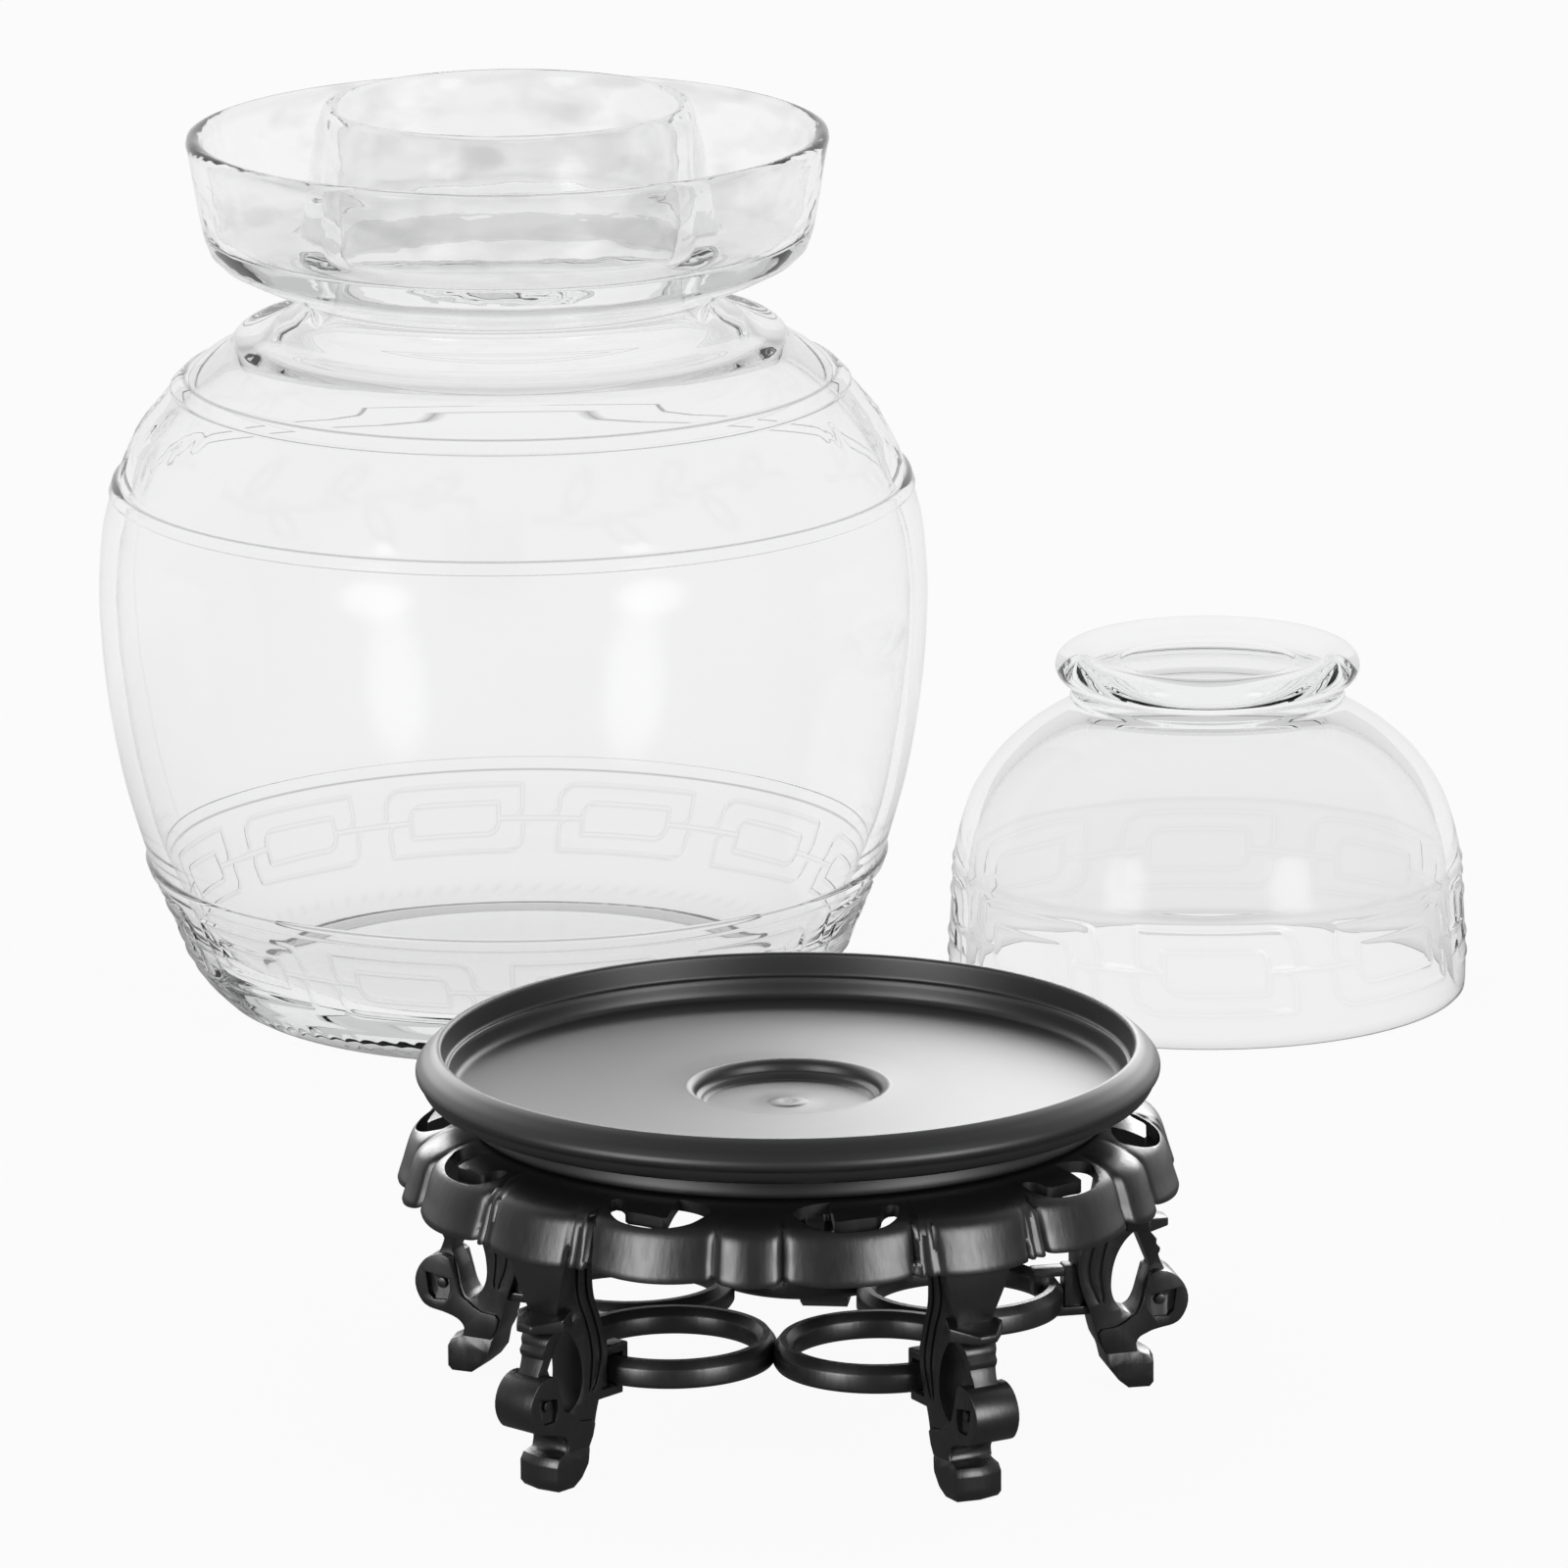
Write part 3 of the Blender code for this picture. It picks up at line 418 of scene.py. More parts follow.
def crowd_columns(azimuth, height, units, phase, radius, halves, low, high):
    """Slides columns of vertices round towards the fret's upright lines, between two heights."""
    unit = 2 * math.pi / units
    share = np.linspace(-0.5, 0.5, 2001)
    gap = np.full_like(share, PLAIN_COLUMN)
    gap[(np.abs(share) < halves[0] + 0.02) & (np.abs(share) > halves[1] * 0.6)] = FRAME_COLUMN
    for line in halves:
        gap[np.abs(np.abs(share) - line) < 0.75 / (unit * radius)] = LINE_COLUMN
    count = np.concatenate([[0.0], np.cumsum((1 / gap[:-1] + 1 / gap[1:]) / 2)])
    place = ((azimuth - phase) / unit + 0.5) % 1.0
    moved = (np.interp(place, count / count[-1], share) - (place - 0.5)) * unit
    weight = np.clip((height - low) / 1.5, 0, 1) * np.clip((high - height) / 1.5, 0, 1)
    return azimuth + moved * weight


SPRIG_LEAVES = ((-0.28, 0.16, 0.9), (-0.16, -0.3, -0.6), (0.02, 0.26, 0.7), (0.14, -0.18, -0.9),
                (0.3, 0.2, 0.5))
LEAF_LONG, LEAF_WIDE, STEM_LONG, STEM_WAVE = 0.24, 0.1, 0.42, 0.16     # in shares of the sprig


def sprig_relief(azimuth, height, low, high, units, radius, half):
    """Plain leafy sprigs: a waving stem with outlined leaves on both sides of it."""
    width = 2 * math.pi * radius / units
    tall = high - low
    x = ((azimuth * units / (2 * math.pi)) % 1.0 - 0.5) * width
    y = height - (low + high) / 2
    wave = tall * STEM_WAVE * np.sin(x / width * 2 * math.pi)
    best = np.where(np.abs(x) < width * STEM_LONG, np.abs(y - wave), width)
    for along, up, lean in SPRIG_LEAVES:
        dx, dy = x - along * width, y - up * tall
        u = dx * math.cos(lean) + dy * math.sin(lean)
        v = -dx * math.sin(lean) + dy * math.cos(lean)
        leaf = np.abs(np.hypot(u / (tall * LEAF_LONG), v / (tall * LEAF_WIDE)) - 1.0) * tall * LEAF_WIDE
        best = np.minimum(best, leaf)
    fade = np.clip((tall / 2 - np.abs(y)) / 1.5, 0, 1)
    return ridge(best, half) * fade


def read_places(piece):
    """The places of a piece's vertices, as rows of x, y and z."""
    places = np.empty(len(piece.data.vertices) * 3, np.float64)
    piece.data.vertices.foreach_get("co", places)
    return places.reshape(-1, 3)


def write_places(piece, places):
    """Puts a piece's vertices at these places."""
    piece.data.vertices.foreach_set("co", places.ravel())
    piece.data.update()


def polar(places, centre):
    """Radius and azimuth of places about an upright axis."""
    dx, dy = places[:, 0] - centre[0], places[:, 1] - centre[1]
    return np.hypot(dx, dy), np.arctan2(dx, -dy)


def push_out(places, centre, azimuth, radius, amount):
    """Moves vertices away from the upright axis by an amount in metres."""
    places[:, 0] = centre[0] + (radius + amount) * np.sin(azimuth)
    places[:, 1] = centre[1] - (radius + amount) * np.cos(azimuth)


FRET_PHASE = math.radians(-17.8)
FRET_RADIUS = 69.0
FRET_HALVES = (0.395, 0.258)       # half widths of frame and inner frame, in shares of a unit
FRET_PROUD, FRET_LINE_HALF = 0.5, 0.35
SPRIG_UNITS = 7
SPRIG_RADIUS = 74.0
SPRIG_PROUD, SPRIG_LINE_HALF = 0.3, 0.7
FOOT_LINE, FOOT_LINE_PROUD, FOOT_LINE_HALF = 8.2, 0.2, 0.5
FOOT_TICKS, FOOT_TICK_LEAN = 92, 0.012
FOOT_TICK, FOOT_TICK_DEEP, FOOT_TICK_HALF = 3.4, 0.3, 1.1
SEAM_AZIMUTHS = (math.radians(74.0), math.radians(-106.0))
SEAM_PROUD, SEAM_HALF = 0.14, 0.45
MOAT_FROM, MOAT_RADIUS = 150.0, 59.5
# How much painted shade greys the glass along the fret, the sprigs, the foot ticks and the seams, and in
# rounds.
FRET_SHADE, SPRIG_SHADE, TICK_SHADE, SEAM_SHADE = 0.3, 0.09, 0.2, 0.3
ROUND_SHADES = ((134.8, 1.0, 52.0, 0.6), (151.2, 0.8, 57.0, 0.3), (173.6, 0.6, 60.0, 0.25))

places = read_places(jar_piece)
radius, azimuth = polar(places, (jar_x, jar_y))
height = places[:, 2] / MM
on_body = (height < JAR_BODY[-1][1]) & (height > 0.5)
on_body &= radius / MM > np.interp(height, body_z, body_r) - 0.3
crowded = crowd_columns(azimuth, height, FRET_UNITS, FRET_PHASE, FRET_RADIUS, FRET_HALVES, 7.0, 29.0)
azimuth = np.where(on_body, crowded, azimuth)
relief = np.zeros(len(places))
# Painted shade: the glass is greyed on the flanks of the bands and the fret, and on the sprigs, ticks and
# seams.
shade = np.zeros(len(places))
for band in JAR_BANDS:
    share = np.clip((BAND_HALF + BAND_EDGE - np.abs(height - band)) / BAND_EDGE, 0, 1)
    relief += BAND_PROUD * share
    shade += flanks(share)
in_band = (height > FRET_HEIGHTS[0] - 1.2) & (height < FRET_HEIGHTS[4] + 1.2)
fret = fret_relief(azimuth, height, FRET_HEIGHTS, FRET_UNITS, FRET_PHASE, FRET_RADIUS, FRET_HALVES,
                   FRET_LINE_HALF)
share = np.where(in_band, fret, 0.0)
relief += FRET_PROUD * share
shade += FRET_SHADE * flanks(share)
in_band = (height > SPRIG_LOW) & (height < SPRIG_HIGH)
sprigs = sprig_relief(azimuth, height, SPRIG_LOW, SPRIG_HIGH, SPRIG_UNITS, SPRIG_RADIUS, SPRIG_LINE_HALF)
share = np.where(in_band, sprigs, 0.0)
relief += SPRIG_PROUD * share
shade += SPRIG_SHADE * share
relief += FOOT_LINE_PROUD * ridge(height - FOOT_LINE, FOOT_LINE_HALF)
ticks = np.clip(1.4 * np.cos(FOOT_TICKS * (azimuth + FOOT_TICK_LEAN * height)) - 0.4, 0, 1)
ticks *= ridge(height - FOOT_TICK, FOOT_TICK_HALF)
relief -= FOOT_TICK_DEEP * ticks
shade += TICK_SHADE * ticks
outside = on_body | ((height > MOAT_FROM) & (radius / MM > MOAT_RADIUS))
for seam in SEAM_AZIMUTHS:
    away = (np.abs((azimuth - seam + math.pi) % (2 * math.pi) - math.pi)) * radius / MM
    relief += np.where(outside, SEAM_PROUD * ridge(away, SEAM_HALF), 0.0)
    shade += SEAM_SHADE * ridge(away, SEAM_HALF)
push_out(places, (jar_x, jar_y), azimuth, radius, np.where(outside, relief, 0.0) * MM)
write_places(jar_piece, places)


def keep_shade(piece, values):
    """Keeps, as an attribute, the painted shade that greys the glass at each vertex, on the flanks of its
    lines.
    """
    kept = piece.data.attributes.new("line_shade", "FLOAT", "POINT")
    kept.data.foreach_set("value", np.clip(values, 0, 1).astype(np.float32))


# Greyer rounds of painted shade at the bead, under the moat and under its rim: height, half height, inner
# radius, depth.
shade = np.where(outside, shade, 0.0)
for at, half, beyond, depth in ROUND_SHADES:
    shade += np.where(radius / MM > beyond, depth * ridge(height - at, half), 0.0)
keep_shade(jar_piece, shade)


def maths(tree, operation, *values):
    """One step of arithmetic on numbers or other nodes' outputs."""
    step = tree.nodes.new("ShaderNodeMath")
    step.operation = operation
    for value, socket in zip(values, step.inputs):
        feed(tree, value, socket)
    return step.outputs[0]


def glass_finish(title, tint, thick, wave_height, wave_size, ripple_from):
    """Clear glass with a faint grey tint, deeper at its thick foot and moat, rippled above a height.

    It bends light little, as in the photograph, and a coat on its outside gives it the gloss of glass.
    Painted shade greys the flanks of its raised lines, and painted blotches of shade lie where it is rippled.
    """
    made = bpy.data.materials.new(title)
    made.use_nodes = True
    tree = made.node_tree
    nodes, links = tree.nodes, tree.links
    shader = nodes["Principled BSDF"]
    shader.inputs["Roughness"].default_value = 0.0
    shader.inputs["IOR"].default_value = 1.1
    shader.inputs["Transmission Weight"].default_value = 1.0
    shader.inputs["Coat IOR"].default_value = 1.38
    shader.inputs["Coat Roughness"].default_value = 0.13
    side = nodes.new("ShaderNodeNewGeometry")
    coat = maths(tree, "SUBTRACT", 1.0, side.outputs["Backfacing"])
    links.new(coat, shader.inputs["Coat Weight"])
    place = nodes.new("ShaderNodeTexCoord")
    split = nodes.new("ShaderNodeSeparateXYZ")
    links.new(place.outputs["Object"], split.inputs[0])
    depth = nodes.new("ShaderNodeValToRGB")
    links.new(split.outputs["Z"], depth.inputs["Fac"])
    stops = depth.color_ramp.elements
    for at, level in ((0.0, tint - thick), (0.022, tint - thick), (0.034, tint), (0.14, tint),
                      (0.16, tint - 0.3 * thick)):
        stop = stops[0] if at == 0.0 else stops.new(at)
        stop.color = (level, level, level * 1.002, 1.0)
    stops.remove(stops[-1])
    mask = map_range(tree, split.outputs["Z"], (ripple_from, ripple_from + 4 * MM), (0.0, 1.0))
    stretch = nodes.new("ShaderNodeMapping")
    stretch.inputs["Scale"].default_value = (1.0, 1.0, 2.2)
    links.new(place.outputs["Object"], stretch.inputs["Vector"])
    ripple = nodes.new("ShaderNodeTexNoise")
    ripple.inputs["Scale"].default_value = 1.0 / wave_size
    ripple.inputs["Detail"].default_value = 2.0
    ripple.inputs["Roughness"].default_value = 0.35
    links.new(stretch.outputs["Vector"], ripple.inputs["Vector"])
    tall = maths(tree, "MULTIPLY", ripple.outputs["Fac"], mask)
    # Painted shade: dark blotches where the glass is rippled.
    blotch = map_range(tree, ripple.outputs["Fac"], (0.52, 0.68), (0.0, 0.17), "SMOOTHSTEP")
    cloudy = maths(tree, "MULTIPLY", blotch, mask)
    # The painted line shade kept on the vertices, with the blotches, greys the tint towards a dark grey.
    line = nodes.new("ShaderNodeAttribute")
    line.attribute_name = "line_shade"
    darker = maths(tree, "MULTIPLY_ADD", line.outputs["Fac"], 0.95, cloudy)
    tone = nodes.new("ShaderNodeMix")
    tone.data_type = "RGBA"
    tone.inputs[7].default_value = (0.25, 0.25, 0.253, 1.0)
    links.new(darker, tone.inputs[0])
    links.new(depth.outputs["Color"], tone.inputs[6])
    links.new(tone.outputs[2], shader.inputs["Base Color"])
    bump = nodes.new("ShaderNodeBump")
    bump.inputs["Distance"].default_value = wave_height
    bump.inputs["Strength"].default_value = 1.0
    links.new(tall, bump.inputs["Height"])
    links.new(bump.outputs["Normal"], shader.inputs["Normal"])
    links.new(bump.outputs["Normal"], shader.inputs["Coat Normal"])
    body = nodes.new("ShaderNodeVolumeAbsorption")
    body.inputs["Color"].default_value = (0.90, 0.91, 0.91, 1.0)
    body.inputs["Density"].default_value = 7.0
    links.new(body.outputs[0], nodes["Material Output"].inputs["Volume"])
    return made


jar_piece.data.materials.append(glass_finish("jar_clear_glass", 0.968, 0.03, 0.6 * MM, 15 * MM, 148 * MM))
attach(jar_piece, "jar")
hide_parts("jar")


# Lid.
# A pressed glass bowl turned upside down: its foot ring is the knob, and its rim stands in the moat
# or, as here, on the table. A faint fret runs round above the rim.
LID_FRET_UNITS = 8
LID_TURNS = LID_FRET_UNITS * UNIT_COLUMNS
LID_FRET_HEIGHTS = (7.2, 11.2, 15.5, 19.8, 23.8)
LID_FRET_RADIUS = 51.8
LID_FRET_PROUD, LID_FRET_LINE_HALF = 0.32, 0.5
LID_BORDER, LID_BORDER_PROUD, LID_BORDER_HALF = 26.2, 0.25, 0.5
# Painted shade: a dark line round the rim at this height and half height, from this radius outwards.
LID_RIM, LID_RIM_HALF, LID_RIM_RADIUS = 0.8, 0.7, 50.5
# How much painted shade greys the fret's flanks, the border and the rim line.
LID_FRET_SHADE, LID_BORDER_SHADE, LID_RIM_SHADE = 0.11, 0.2, 0.45
NO_RIPPLES = 300 * MM              # a height above the lid's top

lid_low, lid_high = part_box("lid_bowl")
lid_x, lid_y = (lid_low.x + lid_high.x) / 2, (lid_low.y + lid_high.y) / 2

lid_marks = [line + row for line in LID_FRET_HEIGHTS for row in (-0.7, -0.35, 0.0, 0.35, 0.7)]
lid_rows = rows_over(1.6, 25.6, lid_marks, lambda height: FRET_GAP)
LID_SIDE = [(51.8, 1.0), (51.9, 5.0), (51.8, 10.0), (51.5, 16.0), (51.1, 22.0), (50.5, 27.9), (49.2, 33.9)]
side_r, side_z = np.array(smooth_line(LID_SIDE, 0.5)).T
lid_side = [(float(np.interp(z, side_z, side_r)), float(z)) for z in lid_rows]
lid_outside = (
    [(50.3, 0.0), (51.2, 0.0), (51.7, 0.5)] + lid_side
    + smooth_line([(50.9, 26.4), (50.4, 29.0), (49.2, 33.9), (47.0, 39.9), (43.1, 45.9), (39.3, 49.9),
                   (35.7, 52.9), (31.6, 55.6), (28.4, 57.4), (27.2, 58.4)], 1.6)
    + smooth_line([(27.0, 59.2), (27.5, 59.8), (26.9, 60.5), (27.4, 61.2), (27.1, 61.8), (27.9, 62.4),
                   (29.4, 63.4), (30.2, 64.6), (30.45, 65.9), (30.1, 67.3), (29.0, 68.6), (27.4, 69.25),
                   (25.6, 69.1), (23.8, 68.3), (22.4, 67.3), (21.0, 66.8), (18.6, 66.6), (17.6, 66.9),
                   (16.6, 66.6), (10.0, 66.5), (0.0, 66.5)], 0.6))
lid_inside = smooth_line(
    [(0.0, 56.6), (10.0, 56.2), (18.0, 55.0), (25.6, 52.6), (32.4, 49.2), (37.6, 45.2), (42.0, 40.2),
     (45.2, 34.4), (47.2, 28.0), (48.4, 20.0), (49.0, 12.0), (49.4, 4.0), (49.6, 1.0), (49.9, 0.2)], 1.8)
lid_piece = turn_section("lid_glass", lid_inside + lid_outside, (lid_x, lid_y), LID_TURNS)

places = read_places(lid_piece)
radius, azimuth = polar(places, (lid_x, lid_y))
height = places[:, 2] / MM
outside = (height > 1.0) & (height < 28.0) & (radius / MM > np.interp(height, side_z, side_r) - 0.3)
crowded = crowd_columns(azimuth, height, LID_FRET_UNITS, 0.0, LID_FRET_RADIUS, FRET_HALVES, 4.0, 26.0)
azimuth = np.where(outside, crowded, azimuth)
share = fret_relief(azimuth, height, LID_FRET_HEIGHTS, LID_FRET_UNITS, 0.0, LID_FRET_RADIUS, FRET_HALVES,
                    LID_FRET_LINE_HALF)
border = ridge(height - LID_BORDER, LID_BORDER_HALF)
relief = np.where(outside, LID_FRET_PROUD * share + LID_BORDER_PROUD * border, 0.0)
push_out(places, (lid_x, lid_y), azimuth, radius, relief * MM)
write_places(lid_piece, places)
# Painted shade, kept as an attribute: grey on the fret's flanks and border, and a dark line round the rim.
shade = np.where(outside, LID_FRET_SHADE * flanks(share) + LID_BORDER_SHADE * border, 0.0)
shade += np.where(radius / MM > LID_RIM_RADIUS, LID_RIM_SHADE * ridge(height - LID_RIM, LID_RIM_HALF), 0.0)
keep_shade(lid_piece, shade)
lid_piece.data.materials.append(glass_finish("lid_clear_glass", 0.955, 0.035, 0.9 * MM, 12 * MM, NO_RIPPLES))
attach(lid_piece, "lid")
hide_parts("lid_bowl")


# Stand plastic.
# Every piece of the stand is a black moulding: satin, with a fine moulded grain and faint upright flow
# marks. The dish is smoother than the rest, with a finer grain and finer marks.
def plastic_finish(title, roughness, grain, streak):
    """Black plastic: how rough it is, and how deep its grain and its flow marks are."""
    made = bpy.data.materials.new(title)
    made.use_nodes = True
    tree = made.node_tree
    nodes, links = tree.nodes, tree.links
    shader = nodes["Principled BSDF"]
    shader.inputs["Base Color"].default_value = (0.005, 0.005, 0.0053, 1.0)
    shader.inputs["IOR"].default_value = 1.5
    shader.inputs["Specular IOR Level"].default_value = 0.9
    place = nodes.new("ShaderNodeTexCoord")
    fine = nodes.new("ShaderNodeTexNoise")
    fine.inputs["Scale"].default_value = 1.0 / (0.5 * MM)
    fine.inputs["Detail"].default_value = 2.0
    links.new(place.outputs["Object"], fine.inputs["Vector"])
    bump = nodes.new("ShaderNodeBump")
    bump.inputs["Distance"].default_value = grain
    links.new(fine.outputs["Fac"], bump.inputs["Height"])
    stretch = nodes.new("ShaderNodeMapping")
    stretch.inputs["Scale"].default_value = (1.0, 1.0, 0.12)
    links.new(place.outputs["Object"], stretch.inputs["Vector"])
    flow = nodes.new("ShaderNodeTexNoise")
    flow.inputs["Scale"].default_value = 1.0 / (1.1 * MM)
    flow.inputs["Detail"].default_value = 3.0
    links.new(stretch.outputs["Vector"], flow.inputs["Vector"])
    streaks = nodes.new("ShaderNodeBump")
    streaks.inputs["Distance"].default_value = streak
    links.new(flow.outputs["Fac"], streaks.inputs["Height"])
    links.new(bump.outputs["Normal"], streaks.inputs["Normal"])
    links.new(streaks.outputs["Normal"], shader.inputs["Normal"])
    levels = (roughness - 1.3 * streak / MM, roughness + 1.8 * streak / MM)
    links.new(map_range(tree, flow.outputs["Fac"], (0.0, 1.0), levels), shader.inputs["Roughness"])
    return made


stand_plastic = plastic_finish("black_moulded_plastic", 0.34, 0.003 * MM, 0.04 * MM)
tray_plastic = plastic_finish("black_polished_plastic", 0.46, 0.001 * MM, 0.002 * MM)

tray_low, tray_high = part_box("tray")
stand_x, stand_y = (tray_low.x + tray_high.x) / 2, (tray_low.y + tray_high.y) / 2
LEGS = 5
LEG_STEP = 360.0 / LEGS
FIRST_LEG = math.radians(29.9)


def dress(piece, node, plastic=stand_plastic):
    """Gives a stand piece its plastic and its lamps, and lets it stand for a node."""
    piece.data.materials.clear()
    piece.data.materials.append(plastic)
    stand_pieces.objects.link(piece)
    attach(piece, "stand")
    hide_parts(node)


def apply_all(piece):
    """Applies a piece's modifiers."""
    pick(piece)
    for step in list(piece.modifiers):
        bpy.ops.object.modifier_apply(modifier=step.name)


def boolean(piece, other, operation):
    """Joins or cuts a piece with another object, which is then deleted."""
    step = piece.modifiers.new("join", "BOOLEAN")
    step.operation = operation
    step.object = other
    step.solver = "EXACT"
    apply_all(piece)
    bpy.data.objects.remove(other)


def soften(piece, width, degrees, segments=2):
    """Rounds the edges sharper than an angle, as on a moulding."""
    step = piece.modifiers.new("edges", "BEVEL")
    step.width = width
    step.segments = segments
    step.limit_method = "ANGLE"
    step.angle_limit = math.radians(degrees)
    apply_all(piece)


# Tray.
# Shallow moulded dish: a stepped recess with a sprue mark in the middle of its floor, a small ledge inside
# the rim, a sloping rim face that ends in a bead, and a rounded base band that sits on the apron.
TRAY_TURNS = 240
tray_outline = (
    [(0.0, 55.95), (0.35, 56.0), (0.7, 55.9), (1.2, 56.05), (3.2, 56.05), (3.45, 55.9), (3.9, 55.8)]
    + smooth_line([(8.0, 55.8), (14.4, 55.8), (15.0, 55.9), (15.2, 56.4), (15.6, 56.75), (16.1, 56.85)], 0.5)
    + smooth_line([(16.3, 57.1), (16.5, 57.8), (16.9, 58.4), (17.4, 58.72), (17.8, 58.92), (18.2, 58.84),
                   (18.5, 58.8)], 0.35)
    + smooth_line([(26.0, 58.8), (42.0, 58.8), (55.0, 58.8), (58.4, 58.85), (59.2, 59.1), (59.5, 59.8),
                   (59.7, 61.4), (59.8, 62.3)], 0.9)
    + smooth_line([(59.95, 62.45), (60.5, 62.5), (60.7, 62.7), (60.9, 64.6), (61.1, 66.2), (61.3, 66.55),
                   (61.7, 66.7), (62.1, 66.62)], 0.35)
    + smooth_line([(63.2, 65.75), (64.4, 64.7), (64.9, 64.15), (65.1, 63.85)], 0.5)
    + smooth_line([(65.45, 63.45), (65.68, 62.85), (65.65, 62.2), (65.3, 61.7), (64.95, 61.4)], 0.25)
    + smooth_line([(64.85, 61.1), (64.6, 60.3), (63.8, 59.3), (62.2, 58.7), (60.0, 58.5), (57.4, 58.45)], 0.5)
    + smooth_line([(55.9, 58.4), (56.1, 58.1), (56.45, 57.2), (56.8, 56.0), (56.95, 55.2), (56.8, 54.6),
                   (56.2, 54.32), (53.6, 54.3)], 0.35)
    + [(52.2, 54.3), (52.0, 54.6), (52.0, 56.6), (51.8, 56.8), (20.5, 56.8), (19.6, 56.4), (19.2, 54.2),
       (18.8, 53.9), (0.0, 53.9)])
tray_piece = turn_section("tray_dish", tray_outline, (stand_x, stand_y), TRAY_TURNS)
dress(tray_piece, "tray", tray_plastic)


# Apron.
# Crown of petals under the tray, moulded as one shell: over each leg a broad petal between two fine reeds,
# then two side petals with an eye cut through their tops and a small petal between them.
APRON_TURNS = 720
APRON_WALL = 2.0
LEG_PETAL, REED, SIDE_PETAL = 15.0, 3.5, 19.85
MIDDLE_PETAL = LEG_STEP - LEG_PETAL - 2 * REED - 2 * SIDE_PETAL
# Leg petal, its two reeds, side petal and middle petal: floor, arc, nick at the edges and the nick's power.
PETAL_SHAPES = ((0.0, 0.9, 0.5, 30), (1.0, 0.5, 0.35, 6), (1.0, 0.5, 0.35, 6), (0.0, 1.7, 1.2, 24),
                (0.0, 1.5, 1.2, 14))
APRON_SHOULDER, APRON_REACH = 56.0, 13.3
HEM_FROM, HEM_HIGH, HEM_LIFT = 45.5, 3.7, 0.45
APRON_FACE = [(57.0, 54.0), (59.6, 53.6), (62.0, 52.9), (64.2, 51.95), (65.6, 51.15), (66.5, 50.3),
              (67.1, 49.2), (67.7, 47.4), (68.35, 45.2), (69.0, 43.2), (69.3, 42.2), (69.2, 41.8)]
apron_line = [(50.5, 54.0), (53.5, 54.0)] + smooth_line(APRON_FACE, 0.8)
apron_piece = turn_section("apron_crown", apron_line, (stand_x, stand_y), APRON_TURNS)


def petal_cut(degrees, out):
    """How deep the apron's face is cut in, in mm, at an azimuth from the nearest leg and a share outwards."""
    side = np.abs((degrees + LEG_STEP / 2) % LEG_STEP - LEG_STEP / 2)
    pinch = REED / 2 * (1 - out)
    reed_from, reed_to = LEG_PETAL / 2, LEG_PETAL / 2 + REED
    edges = [-reed_from - pinch, reed_from + pinch, reed_from + REED / 2, reed_to - pinch,
             reed_to + SIDE_PETAL, reed_to + SIDE_PETAL + MIDDLE_PETAL]
    cut = np.zeros_like(side)
    for low, high, (floor, arc, nick, power) in zip(edges, edges[1:], PETAL_SHAPES):
        t = (side - low) / np.maximum(high - low, 1e-6)
        inside = (t >= 0) & (t <= 1)
        u = np.abs(2 * t - 1)
        cut = np.where(inside, floor + arc * u ** 2 + nick * u ** power, cut)
    return cut


places = read_places(apron_piece)
radius, azimuth = polar(places, (stand_x, stand_y))
out = np.clip((radius / MM - APRON_SHOULDER) / APRON_REACH, 0, 1)
cut = petal_cut(np.degrees(azimuth - FIRST_LEG), out)
hem = np.clip((HEM_FROM * MM - places[:, 2]) / (HEM_HIGH * MM), 0, 1)
places[:, 2] += HEM_LIFT * MM * cut * hem
push_out(places, (stand_x, stand_y), azimuth, radius, -cut * out ** 0.8 * MM)
write_places(apron_piece, places)
# The skin is open, so the faces of its top tell which way it points before it gets its wall.
if sum(face.normal.z for face in apron_piece.data.polygons if face.center.z > 53.5 * MM) < 0:
    pick(apron_piece)
    bpy.ops.object.mode_set(mode="EDIT")
    bpy.ops.mesh.select_all(action="SELECT")
    bpy.ops.mesh.flip_normals()
    bpy.ops.object.mode_set(mode="OBJECT")
shell = apron_piece.modifiers.new("wall", "SOLIDIFY")
shell.thickness = APRON_WALL * MM
shell.offset = -1.0
apply_all(apron_piece)


def plate(title, loops, rise):
    """Fills closed routes, the holes among them, and extrudes the face by a vector."""
    pieces = [trace(title, loop, closed=True) for loop in loops]
    pick(*pieces)
    if len(pieces) > 1:
        bpy.ops.object.join()
    piece = bpy.context.active_object
    piece.name = title
    bpy.ops.object.mode_set(mode="EDIT")
    bpy.ops.mesh.select_all(action="SELECT")
    bpy.ops.mesh.fill()
    bpy.ops.mesh.select_all(action="SELECT")
    bpy.ops.mesh.extrude_region_move(TRANSFORM_OT_translate={"value": rise})
    bpy.ops.mesh.select_all(action="SELECT")
    bpy.ops.mesh.normals_make_consistent(inside=False)
    bpy.ops.object.mode_set(mode="OBJECT")
    return piece


# Eye outline: shares along the side petal from its leg side, and out between the eye's two radii.
# The curl that stands in it has square corners, so its points are not smoothed.
EYE_INNER, EYE_OUTER = 57.6, 66.0
EYE_LOW, EYE_DEEP = 47.0, 10.0
EYE_RIM = smooth_line([(4, 36), (6, 54), (12, 74), (24, 92), (44, 100), (62, 97), (78, 82), (88, 58),
                       (92, 42), (88, 26), (78, 12), (66, 4), (60, 2)], 5)
EYE_CURL = [(60, 72), (56, 74), (26, 66), (22, 60)] + smooth_line([(20, 48), (17, 38), (12, 30), (7, 29)], 5)


def round_stand(azimuth, radius):
    """A place at an azimuth and a radius in metres from the stand's axis."""
    return stand_x + radius * math.sin(azimuth), stand_y - radius * math.cos(azimuth)


